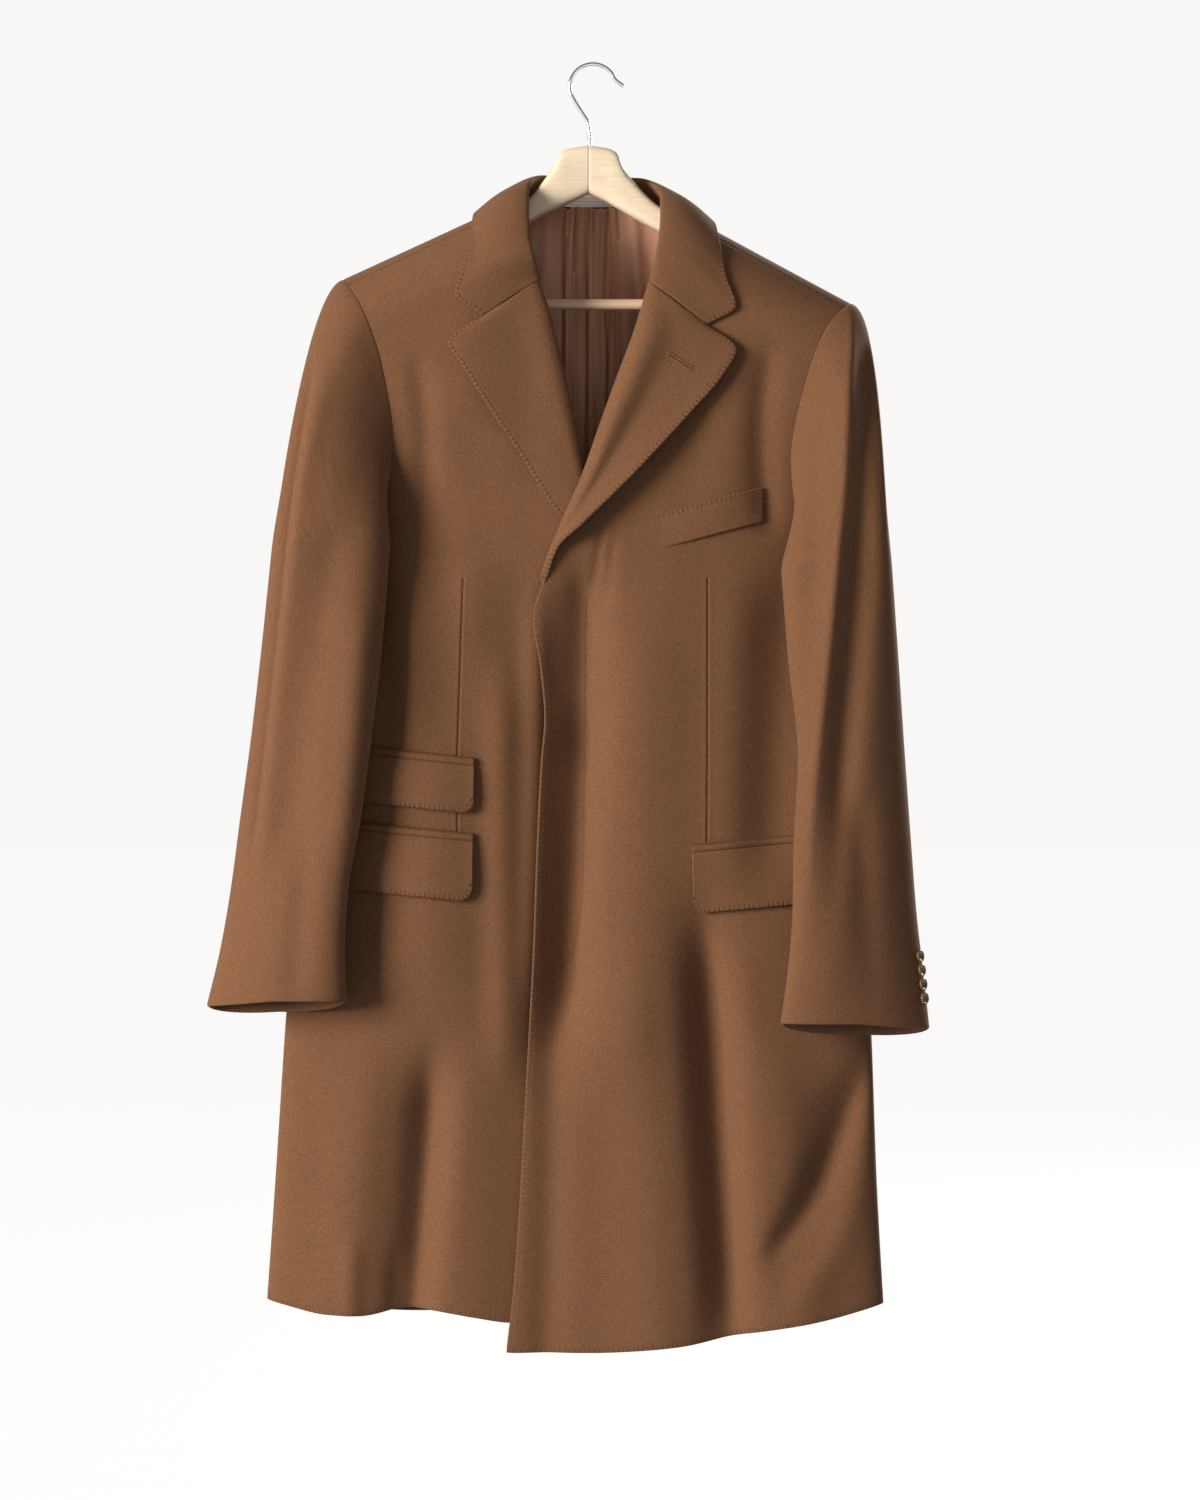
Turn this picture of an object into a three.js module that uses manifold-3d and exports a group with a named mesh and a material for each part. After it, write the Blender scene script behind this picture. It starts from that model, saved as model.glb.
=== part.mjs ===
// A single-breasted wool overcoat with a fly front, hanging on a wooden suit hanger.
// Millimetres, +Z up, X across the fronts, Y towards the back, origin inside the top of the hook.
// Left and right are the wearer's, so the left side of the coat is at +X.
import * as THREE from "three";
import { mergeVertices } from "three/addons/utils/BufferGeometryUtils.js";
import Module from "manifold-3d";

const wasm = await Module();
wasm.setup();

// Cloth and seams
const WALL = 2.4;
const LINING_WALL = 1.2;
const SEAM_GAP = 0.3;

// Shoulder: the crest falls from a peak over the neck towards each tip, and rounds over into front and back
const CREST_PEAK = -90;
const CREST_SLOPE = { right: 0.47, left: 0.55 };
const CREST_ROUND = 60;
const ARM_SWEEP = 16;
const SWEEP_REACH = 240;

// Girth: how far the cloth reaches from the middle on each side, and how deep it is, at heights down the coat
const GIRTH = [
  { z: -80, right: 300, left: 306, front: 58, back: 46 },
  { z: -230, right: 298, left: 306, front: 60, back: 48 },
  { z: -300, right: 268, left: 284, front: 60, back: 50 },
  { z: -350, right: 238, left: 250, front: 60, back: 50 },
  { z: -398, right: 213, left: 220, front: 59, back: 49 },
  { z: -421, right: 218, left: 214, front: 59, back: 49 },
  { z: -440, right: 225, left: 216, front: 58, back: 48 },
  { z: -520, right: 242, left: 224, front: 55, back: 46 },
  { z: -640, right: 256, left: 234, front: 51, back: 43 },
  { z: -740, right: 265, left: 241, front: 48, back: 41 },
  { z: -860, right: 274, left: 248, front: 46, back: 40 },
  { z: -1000, right: 283, left: 253, front: 44, back: 40 },
  { z: -1160, right: 294, left: 262, front: 44, back: 40 },
];

// Soft folds of the fronts and back: a trough is negative. Each runs down a curve through three places.
const FRONT_FOLDS = [
  { top: -440, bottom: -960, xTop: -24, xMid: -24, xBottom: -38, width: 24, rise: -9 },
  { top: -430, bottom: -980, xTop: 30, xMid: 30, xBottom: 14, width: 34, rise: 7 },
  { top: -340, bottom: -640, xTop: -150, xMid: -138, xBottom: -136, width: 26, rise: -5 },
  { top: -860, bottom: -1230, xTop: -140, xMid: -160, xBottom: -176, width: 27, rise: -11 },
  { top: -840, bottom: -1230, xTop: -196, xMid: -214, xBottom: -232, width: 30, rise: 6 },
  { top: -700, bottom: -1240, xTop: 92, xMid: 108, xBottom: 128, width: 27, rise: -11 },
  { top: -760, bottom: -1240, xTop: 42, xMid: 52, xBottom: 62, width: 36, rise: 7 },
  { top: -880, bottom: -1120, xTop: 236, xMid: 205, xBottom: 160, width: 26, rise: -8 },
  { top: -820, bottom: -1240, xTop: 150, xMid: 176, xBottom: 200, width: 26, rise: 5 },
];
const BACK_FOLDS = [
  { top: -260, bottom: -900, xTop: -120, xMid: -110, xBottom: -118, width: 34, rise: -7 },
  { top: -300, bottom: -940, xTop: 118, xMid: 104, xBottom: 112, width: 34, rise: -6 },
  { top: -640, bottom: -1240, xTop: -62, xMid: -70, xBottom: -84, width: 30, rise: 7 },
  { top: -620, bottom: -1240, xTop: 66, xMid: 78, xBottom: 92, width: 32, rise: 8 },
  { top: -760, bottom: -1240, xTop: -150, xMid: -166, xBottom: -186, width: 28, rise: -8 },
  { top: -740, bottom: -1240, xTop: 150, xMid: 158, xBottom: 170, width: 28, rise: -8 },
];

// Inner edge of each front: hem corner, front edge, break, roll line, neck seam up to the shoulder point
const FRONT_EDGE_LEFT = [
  { z: -1151, x: -76 },
  { z: -1088, x: -69 },
  { z: -1015, x: -64 },
  { z: -885, x: -57 },
  { z: -790, x: -52 },
  { z: -705, x: -49 },
  { z: -625, x: -45 },
  { z: -588, x: -42 },
  { z: -540, x: -46 },
  { z: -500, x: -52 },
  { z: -462, x: -42 },
  { z: -438, x: -32 },
  { z: -392, x: -12 },
  { z: -319, x: 15 },
  { z: -223, x: 49 },
  { z: -199, x: 55 },
  { z: -165, x: 64 },
  { z: -131.25, x: 75 },
];
const FRONT_EDGE_RIGHT = [
  { z: -1125, x: 22 },
  { z: -1015, x: 26 },
  { z: -885, x: 30 },
  { z: -790, x: 34 },
  { z: -705, x: 38 },
  { z: -625, x: 42 },
  { z: -540, x: 46 },
  { z: -500, x: 48 },
  { z: -462, x: 42 },
  { z: -415, x: 12 },
  { z: -368, x: -13 },
  { z: -316, x: -24 },
  { z: -266, x: -35 },
  { z: -231, x: -43 },
  { z: -196, x: -54 },
  { z: -160, x: -64 },
  { z: -125.25, x: -75 },
];
const BACK_NECK = { drop: -124, width: 75 };

// How far the right front lies back under the left one, and the left one forward over it, and between which x
const UNDERLAP = { set: 9, from: -120, to: -50, belowCrest: 10 };
const OVERLAP = { set: 1.5, from: 110, to: 60 };

// Armhole, from the shoulder tip down to the underarm, on the front and on the back
const ARMHOLE = {
  right: {
    front: [
      { t: 0, x: -222, z: -194.34 },
      { t: 0.16, x: -203, z: -225 },
      { t: 0.34, x: -187, z: -273 },
      { t: 0.56, x: -178, z: -335 },
      { t: 0.74, x: -183, z: -374 },
      { t: 0.88, x: -196, z: -391 },
      { t: 1, x: -213, z: -398 },
    ],
    back: [
      { t: 0, x: -222, z: -194.34 },
      { t: 0.16, x: -210, z: -224 },
      { t: 0.34, x: -199, z: -266 },
      { t: 0.56, x: -192, z: -320 },
      { t: 0.74, x: -194, z: -362 },
      { t: 0.88, x: -202, z: -386 },
      { t: 1, x: -213, z: -398 },
    ],
  },
  left: {
    front: [
      { t: 0, x: 229, z: -215.95 },
      { t: 0.16, x: 207, z: -240 },
      { t: 0.34, x: 189, z: -285 },
      { t: 0.56, x: 176, z: -352 },
      { t: 0.74, x: 181, z: -396 },
      { t: 0.88, x: 196, z: -414 },
      { t: 1, x: 214, z: -421 },
    ],
    back: [
      { t: 0, x: 229, z: -215.95 },
      { t: 0.16, x: 216, z: -246 },
      { t: 0.34, x: 203, z: -289 },
      { t: 0.56, x: 194, z: -344 },
      { t: 0.74, x: 195, z: -386 },
      { t: 0.88, x: 203, z: -410 },
      { t: 1, x: 214, z: -421 },
    ],
  },
};

// Share of a panel's rows below the underarm, and share over which the hem's own line fades out upwards
const SEAM_SHARE = 0.66;
const HEM_SHARE = 0.12;
// Keeps a point just inside the coat's outermost reach, where the cloth's depth is not defined
const REACH_SHARE = 0.99999;

// Hem of the fronts and back
const HEM = {
  frontRight: [
    { x: -292, z: -1105 },
    { x: -276, z: -1109 },
    { x: -237, z: -1117 },
    { x: -206, z: -1118 },
    { x: -167, z: -1112 },
    { x: -141, z: -1114 },
    { x: -106, z: -1120 },
    { x: -76, z: -1125 },
    { x: 40, z: -1131 },
  ],
  frontLeft: [
    { x: -80, z: -1151 },
    { x: -5, z: -1151 },
    { x: 72, z: -1146 },
    { x: 130, z: -1136 },
    { x: 207, z: -1123 },
    { x: 262, z: -1109 },
  ],
  back: [
    { x: -292, z: -1105 },
    { x: -200, z: -1118 },
    { x: -100, z: -1124 },
    { x: 0, z: -1126 },
    { x: 120, z: -1123 },
    { x: 200, z: -1117 },
    { x: 262, z: -1109 },
  ],
};

// Sleeves: the inner and outer edge as seen from the front, the y of the middle, how deep the sleeve is to the
// front and to the back of it, and how much further back the outer edge lies than the inner one
const SLEEVE = {
  right: [
    { z: -440, inner: -181, outer: -283, mid: -70, front: 28, rear: 31, sweep: 0 },
    { z: -520, inner: -187, outer: -292, mid: -68, front: 28, rear: 31, sweep: 14 },
    { z: -600, inner: -196, outer: -302, mid: -65, front: 27, rear: 30, sweep: 26 },
    { z: -676, inner: -206, outer: -313, mid: -61, front: 26, rear: 29, sweep: 34 },
    { z: -740, inner: -217, outer: -322, mid: -60, front: 25, rear: 28, sweep: 38 },
    { z: -790, inner: -220, outer: -331, mid: -60, front: 25, rear: 27, sweep: 36 },
    { z: -836, inner: -219, outer: -342, mid: -61, front: 25, rear: 26, sweep: 28 },
  ],
  left: [
    { z: -462, inner: 168, outer: 264, mid: -70, front: 28, rear: 31, sweep: 0 },
    { z: -540, inner: 174, outer: 270, mid: -68, front: 28, rear: 31, sweep: 14 },
    { z: -620, inner: 182, outer: 276, mid: -65, front: 27, rear: 30, sweep: 26 },
    { z: -700, inner: 178, outer: 282, mid: -66, front: 26, rear: 29, sweep: 34 },
    { z: -760, inner: 177, outer: 287, mid: -65, front: 25, rear: 28, sweep: 38 },
    { z: -810, inner: 173, outer: 293, mid: -64, front: 25, rear: 27, sweep: 36 },
    { z: -856, inner: 167, outer: 298, mid: -61, front: 25, rear: 26, sweep: 28 },
  ],
};
const CUFF_SLANT = { rear: 12, outer: 6 };
const REAR_BIAS = 0.45;

// Where the sleeve's turn (0 crown, 180 underarm) lands on the ring of the free sleeve (0 outer, 90 front,
// 180 inner)
const SLEEVE_TURN = [
  { turn: 0, ring: 18 },
  { turn: 90, ring: 98 },
  { turn: 135, ring: 162 },
  { turn: 158, ring: 202 },
  { turn: 180, ring: 246 },
  { turn: 200, ring: 272 },
  { turn: 225, ring: 298 },
  { turn: 270, ring: 330 },
  { turn: 360, ring: 378 },
];
const SLEEVE_FRONT_SEAM = 158;
const SLEEVE_BACK_SEAM = 300;
const SEAM_TURN_GAP = 0.25;

// How the cap leaves the armhole: outward, forward and down, by the turn
const CAP_START = [
  { turn: 0, out: 78, forward: 0, down: 12 },
  { turn: 45, out: 56, forward: 22, down: 20 },
  { turn: 90, out: 44, forward: 34, down: 30 },
  { turn: 135, out: 4, forward: 60, down: 20 },
  { turn: 158, out: 4, forward: 70, down: 10 },
  { turn: 180, out: 16, forward: 76, down: 2 },
  { turn: 200, out: 52, forward: 22, down: 0 },
  { turn: 225, out: 68, forward: -6, down: 4 },
  { turn: 270, out: 62, forward: -22, down: 26 },
  { turn: 315, out: 66, forward: -20, down: 20 },
  { turn: 360, out: 78, forward: 0, down: 12 },
];
// Share of the rows that the cap takes, and its gap from the armhole
const CAP_SHARE = 0.42;
const SLEEVE_START_GAP = 2.4;

// Lapels: outer edge and roll line, a row for each level from the break up to the gorge
const LAPEL = {
  left: [
    { t: 0, rollX: -46, rollZ: -463, edgeX: -43, edgeZ: -467 },
    { t: 0.12, rollX: -37, rollZ: -438, edgeX: -31, edgeZ: -436 },
    { t: 0.25, rollX: -27, rollZ: -414, edgeX: -8, edgeZ: -414 },
    { t: 0.4, rollX: -9, rollZ: -373, edgeX: 38, edgeZ: -369 },
    { t: 0.58, rollX: 8, rollZ: -325, edgeX: 85, edgeZ: -318 },
    { t: 0.74, rollX: 24, rollZ: -281, edgeX: 114, edgeZ: -284 },
    { t: 0.86, rollX: 37, rollZ: -246, edgeX: 126, edgeZ: -261 },
    { t: 1, rollX: 50, rollZ: -203, edgeX: 101, edgeZ: -240 },
  ],
  right: [
    { t: 0, rollX: 36, rollZ: -462, edgeX: 34, edgeZ: -466 },
    { t: 0.14, rollX: 12, rollZ: -418, edgeX: 4, edgeZ: -434 },
    { t: 0.28, rollX: -8, rollZ: -368, edgeX: -27, edgeZ: -409 },
    { t: 0.45, rollX: -17, rollZ: -324, edgeX: -64, edgeZ: -352 },
    { t: 0.62, rollX: -25, rollZ: -286, edgeX: -95, edgeZ: -306 },
    { t: 0.76, rollX: -33, rollZ: -252, edgeX: -115, edgeZ: -274 },
    { t: 0.88, rollX: -41, rollZ: -222, edgeX: -127, edgeZ: -254 },
    { t: 1, rollX: -49, rollZ: -200, edgeX: -97, edgeZ: -232 },
  ],
};
// How far the roll stands off, and how far the rest of the middle surface lies off the front's
const LAPEL_ROLL = 3.4;
const LAPEL_LIFT = 3.1;

// Collar: fold line, leaf edge and neck seam, from the wearer's right end round the back to the left end
const COLLAR = [
  { t: 0, fold: [-50, -66, -196], edge: [-97, -66, -227], seam: [-51, -60, -195] },
  { t: 0.07, fold: [-54, -64, -180], edge: [-121, -64, -210], seam: [-56, -56, -180] },
  { t: 0.14, fold: [-57, -57, -158], edge: [-115, -60, -188], seam: [-62, -49, -160] },
  { t: 0.22, fold: [-58, -42, -132], edge: [-108, -42, -154], seam: [-67, -32, -142] },
  { t: 0.29, fold: [-58, -22, -114], edge: [-105, -8, -134], seam: [-69, -10, -125] },
  { t: 0.36, fold: [-54, 0, -102], edge: [-95, 32, -142], seam: [-62, 16, -119] },
  { t: 0.43, fold: [-40, 24, -97], edge: [-58, 52, -146], seam: [-42, 32, -121] },
  { t: 0.5, fold: [0, 38, -97], edge: [0, 56, -148], seam: [0, 40, -122] },
  { t: 0.57, fold: [38, 24, -99], edge: [58, 52, -150], seam: [42, 32, -124] },
  { t: 0.64, fold: [54, 0, -107], edge: [97, 32, -148], seam: [63, 16, -124] },
  { t: 0.71, fold: [61, -22, -120], edge: [107, -8, -142], seam: [71, -10, -131] },
  { t: 0.78, fold: [61, -42, -138], edge: [111, -42, -160], seam: [69, -32, -148] },
  { t: 0.86, fold: [59, -57, -162], edge: [117, -60, -194], seam: [63, -49, -164] },
  { t: 0.93, fold: [56, -64, -182], edge: [126, -64, -221], seam: [58, -56, -183] },
  { t: 1, fold: [51, -66, -199], edge: [101, -66, -236], seam: [52, -60, -198] },
];
// Share of the way from the neck seam to the leaf's edge at which the fold lies, how far the leaf swells out and
// how far its middle surface stays off the front's
const FOLD_SHARE = 0.3;
const LEAF_SWELL = 7;
const LEAF_LIFT = 4.6;

// Pockets, given by their corners on the front as seen: upper inner, upper outer, and how far they hang
const TICKET = { innerX: -106, innerZ: -631, outerX: -226, outerZ: -618, drop: 40, jet: 7 };
const HIP_RIGHT = { innerX: -107, innerZ: -698, outerX: -240, outerZ: -685, drop: 51, jet: 7 };
const HIP_LEFT = { innerX: 89, innerZ: -708, outerX: 212, outerZ: -697, drop: 52, jet: 7 };
const WELT = { innerX: 46, innerZ: -411, outerX: 150, outerZ: -383, drop: 29 };
// Their walls, how far their middle surfaces lie off the front's, the rise of a flap's lower edge, and the gap
// between a jet and its flap
const FLAP_WALL = 2.6;
const FLAP_LIFT = 4.2;
const FLAP_RISE = 1.5;
const WELT_LIFT = 4.6;
const JET_WALL = 2;
const JET_LIFT = 3.3;
const JET_GAP = 1;

// Lining and label inside the neck
const LINING = {
  halfWidth: 96, top: -127, bottom: -520, inset: 3.2, pleat: 3, pleatWidth: 7, clearOfCrest: 5,
};
const LABEL = { halfWidth: 26, top: -108, bottom: -124.5, back: 35.6, bow: 5, wall: 0.8 };

// Cuff buttons: the lowest one's height over the cuff, the place round the sleeve, and how far they stand off
// its true surface, inside of which the faceted wall lies
const BUTTON = {
  radius: 5.6, thick: 3, rim: 0.7, spacing: 12.5, lowest: 20, sides: 12, seat: -0.35,
};

const BUTTON_RING = { right: 328, left: 20 };

// Hanger
const HOOK = { wire: 3.5, ring: 20.8, stemX: -3.2, stemFoot: -86, boreTop: -56 };
const HOOK_STEM = [
  { x: -3.2, z: -86 },
  { x: -3.2, z: -72 },
  { x: -3.2, z: -60 },
  { x: -4.6, z: -51 },
  { x: -10.2, z: -42 },
];
const HOOK_RING = { from: 216, to: 36, step: 20 };
const HOOK_TIP = [
  { x: 19.5, z: -12 },
  { x: 26.5, z: -17.5 },
];
const BAR = { radius: 4.85, z: -215.7, reach: 196 };
const BORE_CLEARANCE = 0.3;
const HANGER_ARM = {
  right: [
    { x: -3.75, top: -72, bottom: -115, half: 9 },
    { x: -18, top: -74, bottom: -122, half: 9.5 },
    { x: -29, top: -78, bottom: -127, half: 10 },
    { x: -35, top: -90, bottom: -130, half: 10 },
    { x: -44, top: -103, bottom: -134, half: 10 },
    { x: -56, top: -118, bottom: -141, half: 10 },
    { x: -78, top: -131, bottom: -152, half: 11 },
    { x: -110, top: -146, bottom: -168, half: 13 },
    { x: -150, top: -165, bottom: -190, half: 15 },
    { x: -180, top: -180, bottom: -221, half: 16 },
    { x: -200, top: -190, bottom: -225, half: 15 },
    { x: -210, top: -199, bottom: -219, half: 9 },
  ],
  left: [
    { x: -3.45, top: -72, bottom: -115, half: 9 },
    { x: 11, top: -74, bottom: -122, half: 9.5 },
    { x: 21, top: -78, bottom: -128, half: 10 },
    { x: 28, top: -93, bottom: -132, half: 10 },
    { x: 38, top: -106, bottom: -138, half: 10 },
    { x: 56, top: -124, bottom: -148, half: 10 },
    { x: 78, top: -137, bottom: -160, half: 11 },
    { x: 110, top: -155, bottom: -178, half: 13 },
    { x: 150, top: -177, bottom: -203, half: 15 },
    { x: 180, top: -193, bottom: -224, half: 16 },
    { x: 200, top: -204, bottom: -232, half: 15 },
    { x: 210, top: -212, bottom: -228, half: 9 },
  ],
};

const COLOUR = {
  wool: 0x7f5a3e,
  lining: 0x8a624c,
  label: 0xd9d7d4,
  horn: 0x8a6238,
  wood: 0xe9cfa3,
  bar: 0xe2c29c,
  chrome: 0xd6d8da,
};

const radians = (degrees) => (degrees * Math.PI) / 180;
const mix = (a, b, t) => a + (b - a) * t;
const clamp = (value) => Math.min(1, Math.max(0, value));
const smooth = (value) => {
  const t = clamp(value);
  return t * t * (3 - 2 * t);
};

// A smooth curve through a table: cubic between rows, never overshooting one, and level at a peak or a dip
function curve(rows, at, column) {
  const sorted = [...rows].sort((a, b) => a[at] - b[at]);
  const places = sorted.map((row) => row[at]);
  const values = sorted.map((row) => row[column]);
  const last = places.length - 1;
  const run = (i) => (values[i + 1] - values[i]) / (places[i + 1] - places[i]);
  const slopes = values.map((_, i) => {
    if (i === 0) return run(0);
    if (i === last) return run(last - 1);
    const [before, after] = [run(i - 1), run(i)];
    return before * after > 0 ? (2 * before * after) / (before + after) : 0;
  });
  return (place) => {
    const p = Math.min(places[last], Math.max(places[0], place));
    let i = 0;
    while (i < last - 1 && p > places[i + 1]) i += 1;
    const width = places[i + 1] - places[i];
    const t = (p - places[i]) / width;
    const a = values[i];
    const b = values[i + 1];
    const rise = t * t * (3 - 2 * t);
    return (
      a + (b - a) * rise + width * (t * (1 - t) * (1 - t) * slopes[i] - t * t * (1 - t) * slopes[i + 1])
    );
  };
}

const girth = Object.fromEntries(
  ["right", "left", "front", "back"].map((column) => [column, curve(GIRTH, "z", column)]),
);
const sideOf = (x) => (x < 0 ? "right" : "left");
const crestZ = (x) => CREST_PEAK - CREST_SLOPE[sideOf(x)] * Math.abs(x);
const middleY = (x) => -ARM_SWEEP * (x / SWEEP_REACH) ** 2;

// Height of the folds over the plain form at a place on one face
function foldRise(folds, x, z) {
  let sum = 0;
  for (const fold of folds) {
    const along = (fold.top - z) / (fold.top - fold.bottom);
    const fade = smooth(along * 4) * smooth((1 - along) * 4);
    const bend = 4 * fold.xMid - 2 * fold.xTop - 2 * fold.xBottom;
    const centre = mix(fold.xTop, fold.xBottom, clamp(along)) + bend * clamp(along) * (1 - clamp(along));
    sum += fold.rise * fade * Math.exp(-(((x - centre) / fold.width) ** 2));
  }
  return sum;
}

// The cloth's middle surface over the frame of the coat: a half ellipse across, rounded over at the crest
function clothY(face, x, z) {
  const reach = girth[sideOf(x)](z);
  const across = Math.sqrt(Math.max(0, 1 - (x / reach) ** 2));
  const down = clamp((crestZ(x) - z) / CREST_ROUND);
  const over = Math.sqrt(1 - (1 - down) ** 2);
  const sign = face === "front" ? -1 : 1;
  const folds = foldRise(face === "front" ? FRONT_FOLDS : BACK_FOLDS, x, z);
  return middleY(x) + sign * (girth[face](z) * across * over + folds * smooth(across * 1.6));
}

// One closed wall: a grid of middle points given half the thickness to each side along the surface's own normal
function wall(surface, columns, rows, thickness) {
  const step = 1e-3;
  const positions = [];
  const normalAt = (u, v) => {
    const across = surface(clamp(u + step), v).sub(surface(clamp(u - step), v));
    const along = surface(u, clamp(v + step)).sub(surface(u, clamp(v - step)));
    return across.cross(along).normalize();
  };
  for (const side of [1, -1]) {
    for (let j = 0; j <= rows; j += 1) {
      for (let i = 0; i <= columns; i += 1) {
        const u = i / columns;
        const v = j / rows;
        const point = surface(u, v).addScaledVector(normalAt(u, v), (side * thickness) / 2);
        positions.push(point.x, point.y, point.z);
      }
    }
  }
  const stride = columns + 1;
  const layer = stride * (rows + 1);
  const at = (i, j, side) => side * layer + j * stride + i;
  const index = [];
  const quad = (a, b, c, d) => index.push(a, b, c, a, c, d);
  for (let j = 0; j < rows; j += 1) {
    for (let i = 0; i < columns; i += 1) {
      quad(at(i, j, 0), at(i + 1, j, 0), at(i + 1, j + 1, 0), at(i, j + 1, 0));
      quad(at(i, j + 1, 1), at(i + 1, j + 1, 1), at(i + 1, j, 1), at(i, j, 1));
    }
  }
  for (let i = 0; i < columns; i += 1) {
    quad(at(i, 0, 1), at(i + 1, 0, 1), at(i + 1, 0, 0), at(i, 0, 0));
    quad(at(i, rows, 0), at(i + 1, rows, 0), at(i + 1, rows, 1), at(i, rows, 1));
  }
  for (let j = 0; j < rows; j += 1) {
    quad(at(0, j, 0), at(0, j + 1, 0), at(0, j + 1, 1), at(0, j, 1));
    quad(at(columns, j, 1), at(columns, j + 1, 1), at(columns, j + 1, 0), at(columns, j, 0));
  }
  return closedSolid(positions, index);
}

// A geometry with shared corners, turned so that its faces point out
function closedSolid(positions, index) {
  const geometry = new THREE.BufferGeometry();
  geometry.setAttribute("position", new THREE.Float32BufferAttribute(positions, 3));
  geometry.setIndex(index);
  const merged = mergeVertices(geometry, 1e-4);
  const place = merged.getAttribute("position");
  const corners = merged.getIndex().array;
  const [a, b, c] = [new THREE.Vector3(), new THREE.Vector3(), new THREE.Vector3()];
  let volume = 0;
  for (let i = 0; i < corners.length; i += 3) {
    a.fromBufferAttribute(place, corners[i]);
    b.fromBufferAttribute(place, corners[i + 1]);
    c.fromBufferAttribute(place, corners[i + 2]);
    volume += a.dot(b.cross(c));
  }
  if (volume < 0) {
    for (let i = 0; i < corners.length; i += 3) {
      [corners[i + 1], corners[i + 2]] = [corners[i + 2], corners[i + 1]];
    }
  }
  merged.computeVertexNormals();
  return merged;
}

const coat = new THREE.Group();

function add(name, geometry, colour, metalness = 0, roughness = 0.9) {
  const material = new THREE.MeshStandardMaterial({ color: colour, metalness, roughness });
  const mesh = new THREE.Mesh(geometry, material);
  mesh.name = name;
  coat.add(mesh);
  return mesh;
}

// Panels: rows run from the inner edge to the side seam or armhole, closer together towards the shoulder
function panel({ face, side, inner, hem, shift }) {
  const sign = side === "right" ? -1 : 1;
  const armhole = ARMHOLE[side][face];
  const armX = curve(armhole, "t", "x");
  const armZ = curve(armhole, "t", "z");
  const under = armhole[armhole.length - 1];
  const hemZ = curve(hem, "x", "z");
  const hemSide = hemZ(sign * SWEEP_REACH * 2);
  const outerAt = (v) => {
    if (v < SEAM_SHARE) {
      const z = mix(hemSide, under.z, v / SEAM_SHARE);
      return [sign * girth[side](z) * REACH_SHARE, z];
    }
    const t = 1 - (v - SEAM_SHARE) / (1 - SEAM_SHARE);
    return [armX(t), armZ(t)];
  };
  return (u, w) => {
    const v = Math.sin((w * Math.PI) / 2);
    const [innerX, innerZ] = inner(v);
    const [outerX, outerZ] = outerAt(v);
    const share = Math.sin((u * Math.PI) / 2);
    let x = mix(innerX, outerX, share);
    let z = mix(innerZ, outerZ, share);
    const low = clamp(1 - v / HEM_SHARE) ** 2;
    z += low * (hemZ(x) - mix(inner(0)[1], hemSide, share));
    const limit = girth[side](z) * REACH_SHARE;
    x = sign * Math.min(sign * x, limit);
    return new THREE.Vector3(x, clothY(face, x, z) + shift(x, z), z);
  };
}

const byRun = (rows) => {
  const lengths = [0];
  for (let i = 1; i < rows.length; i += 1) {
    lengths.push(lengths[i - 1] + Math.hypot(rows[i].x - rows[i - 1].x, rows[i].z - rows[i - 1].z));
  }
  const total = lengths[lengths.length - 1];
  const table = rows.map((row, i) => ({ t: lengths[i] / total, x: row.x, z: row.z }));
  const x = curve(table, "t", "x");
  const z = curve(table, "t", "z");
  return (v) => [x(v), z(v)];
};

// The underlap is pressed back where the left front covers it, which stands forward there
const overlapShift = (x) => -OVERLAP.set * smooth((OVERLAP.from - x) / (OVERLAP.from - OVERLAP.to));
const underlapShift = (x, z) => {
  const belowCrest = smooth((crestZ(x) - z - UNDERLAP.belowCrest) / CREST_ROUND);
  return UNDERLAP.set * belowCrest * smooth((x - UNDERLAP.from) / (UNDERLAP.to - UNDERLAP.from));
};

const frontRight = panel({
  face: "front",
  side: "right",
  inner: byRun(FRONT_EDGE_RIGHT),
  hem: HEM.frontRight,
  shift: (x, z) => underlapShift(x, z) - SEAM_GAP / 2,
});
const frontLeft = panel({
  face: "front",
  side: "left",
  inner: byRun(FRONT_EDGE_LEFT),
  hem: HEM.frontLeft,
  shift: (x) => overlapShift(x) - SEAM_GAP / 2,
});
const backEdge = (side) => {
  const sign = side === "right" ? -1 : 1;
  const neckZ = crestZ(sign * BACK_NECK.width);
  const rows = [
    { x: (sign * SEAM_GAP) / 2, z: -1126 },
    { x: (sign * SEAM_GAP) / 2, z: -700 },
    { x: (sign * SEAM_GAP) / 2, z: -300 },
    { x: (sign * SEAM_GAP) / 2, z: BACK_NECK.drop - 8 },
    { x: sign * 12, z: BACK_NECK.drop - 1 },
    { x: sign * 40, z: BACK_NECK.drop },
    { x: sign * BACK_NECK.width, z: neckZ },
  ];
  return byRun(rows);
};
const backPanel = (side) =>
  panel({ face: "back", side, inner: backEdge(side), hem: HEM.back, shift: () => SEAM_GAP / 2 });

add("front_right", wall(frontRight, 15, 22, WALL), COLOUR.wool);
add("front_left", wall(frontLeft, 15, 22, WALL), COLOUR.wool);
add("back_right", wall(backPanel("right"), 9, 20, WALL), COLOUR.wool);
add("back_left", wall(backPanel("left"), 9, 20, WALL), COLOUR.wool);

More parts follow.
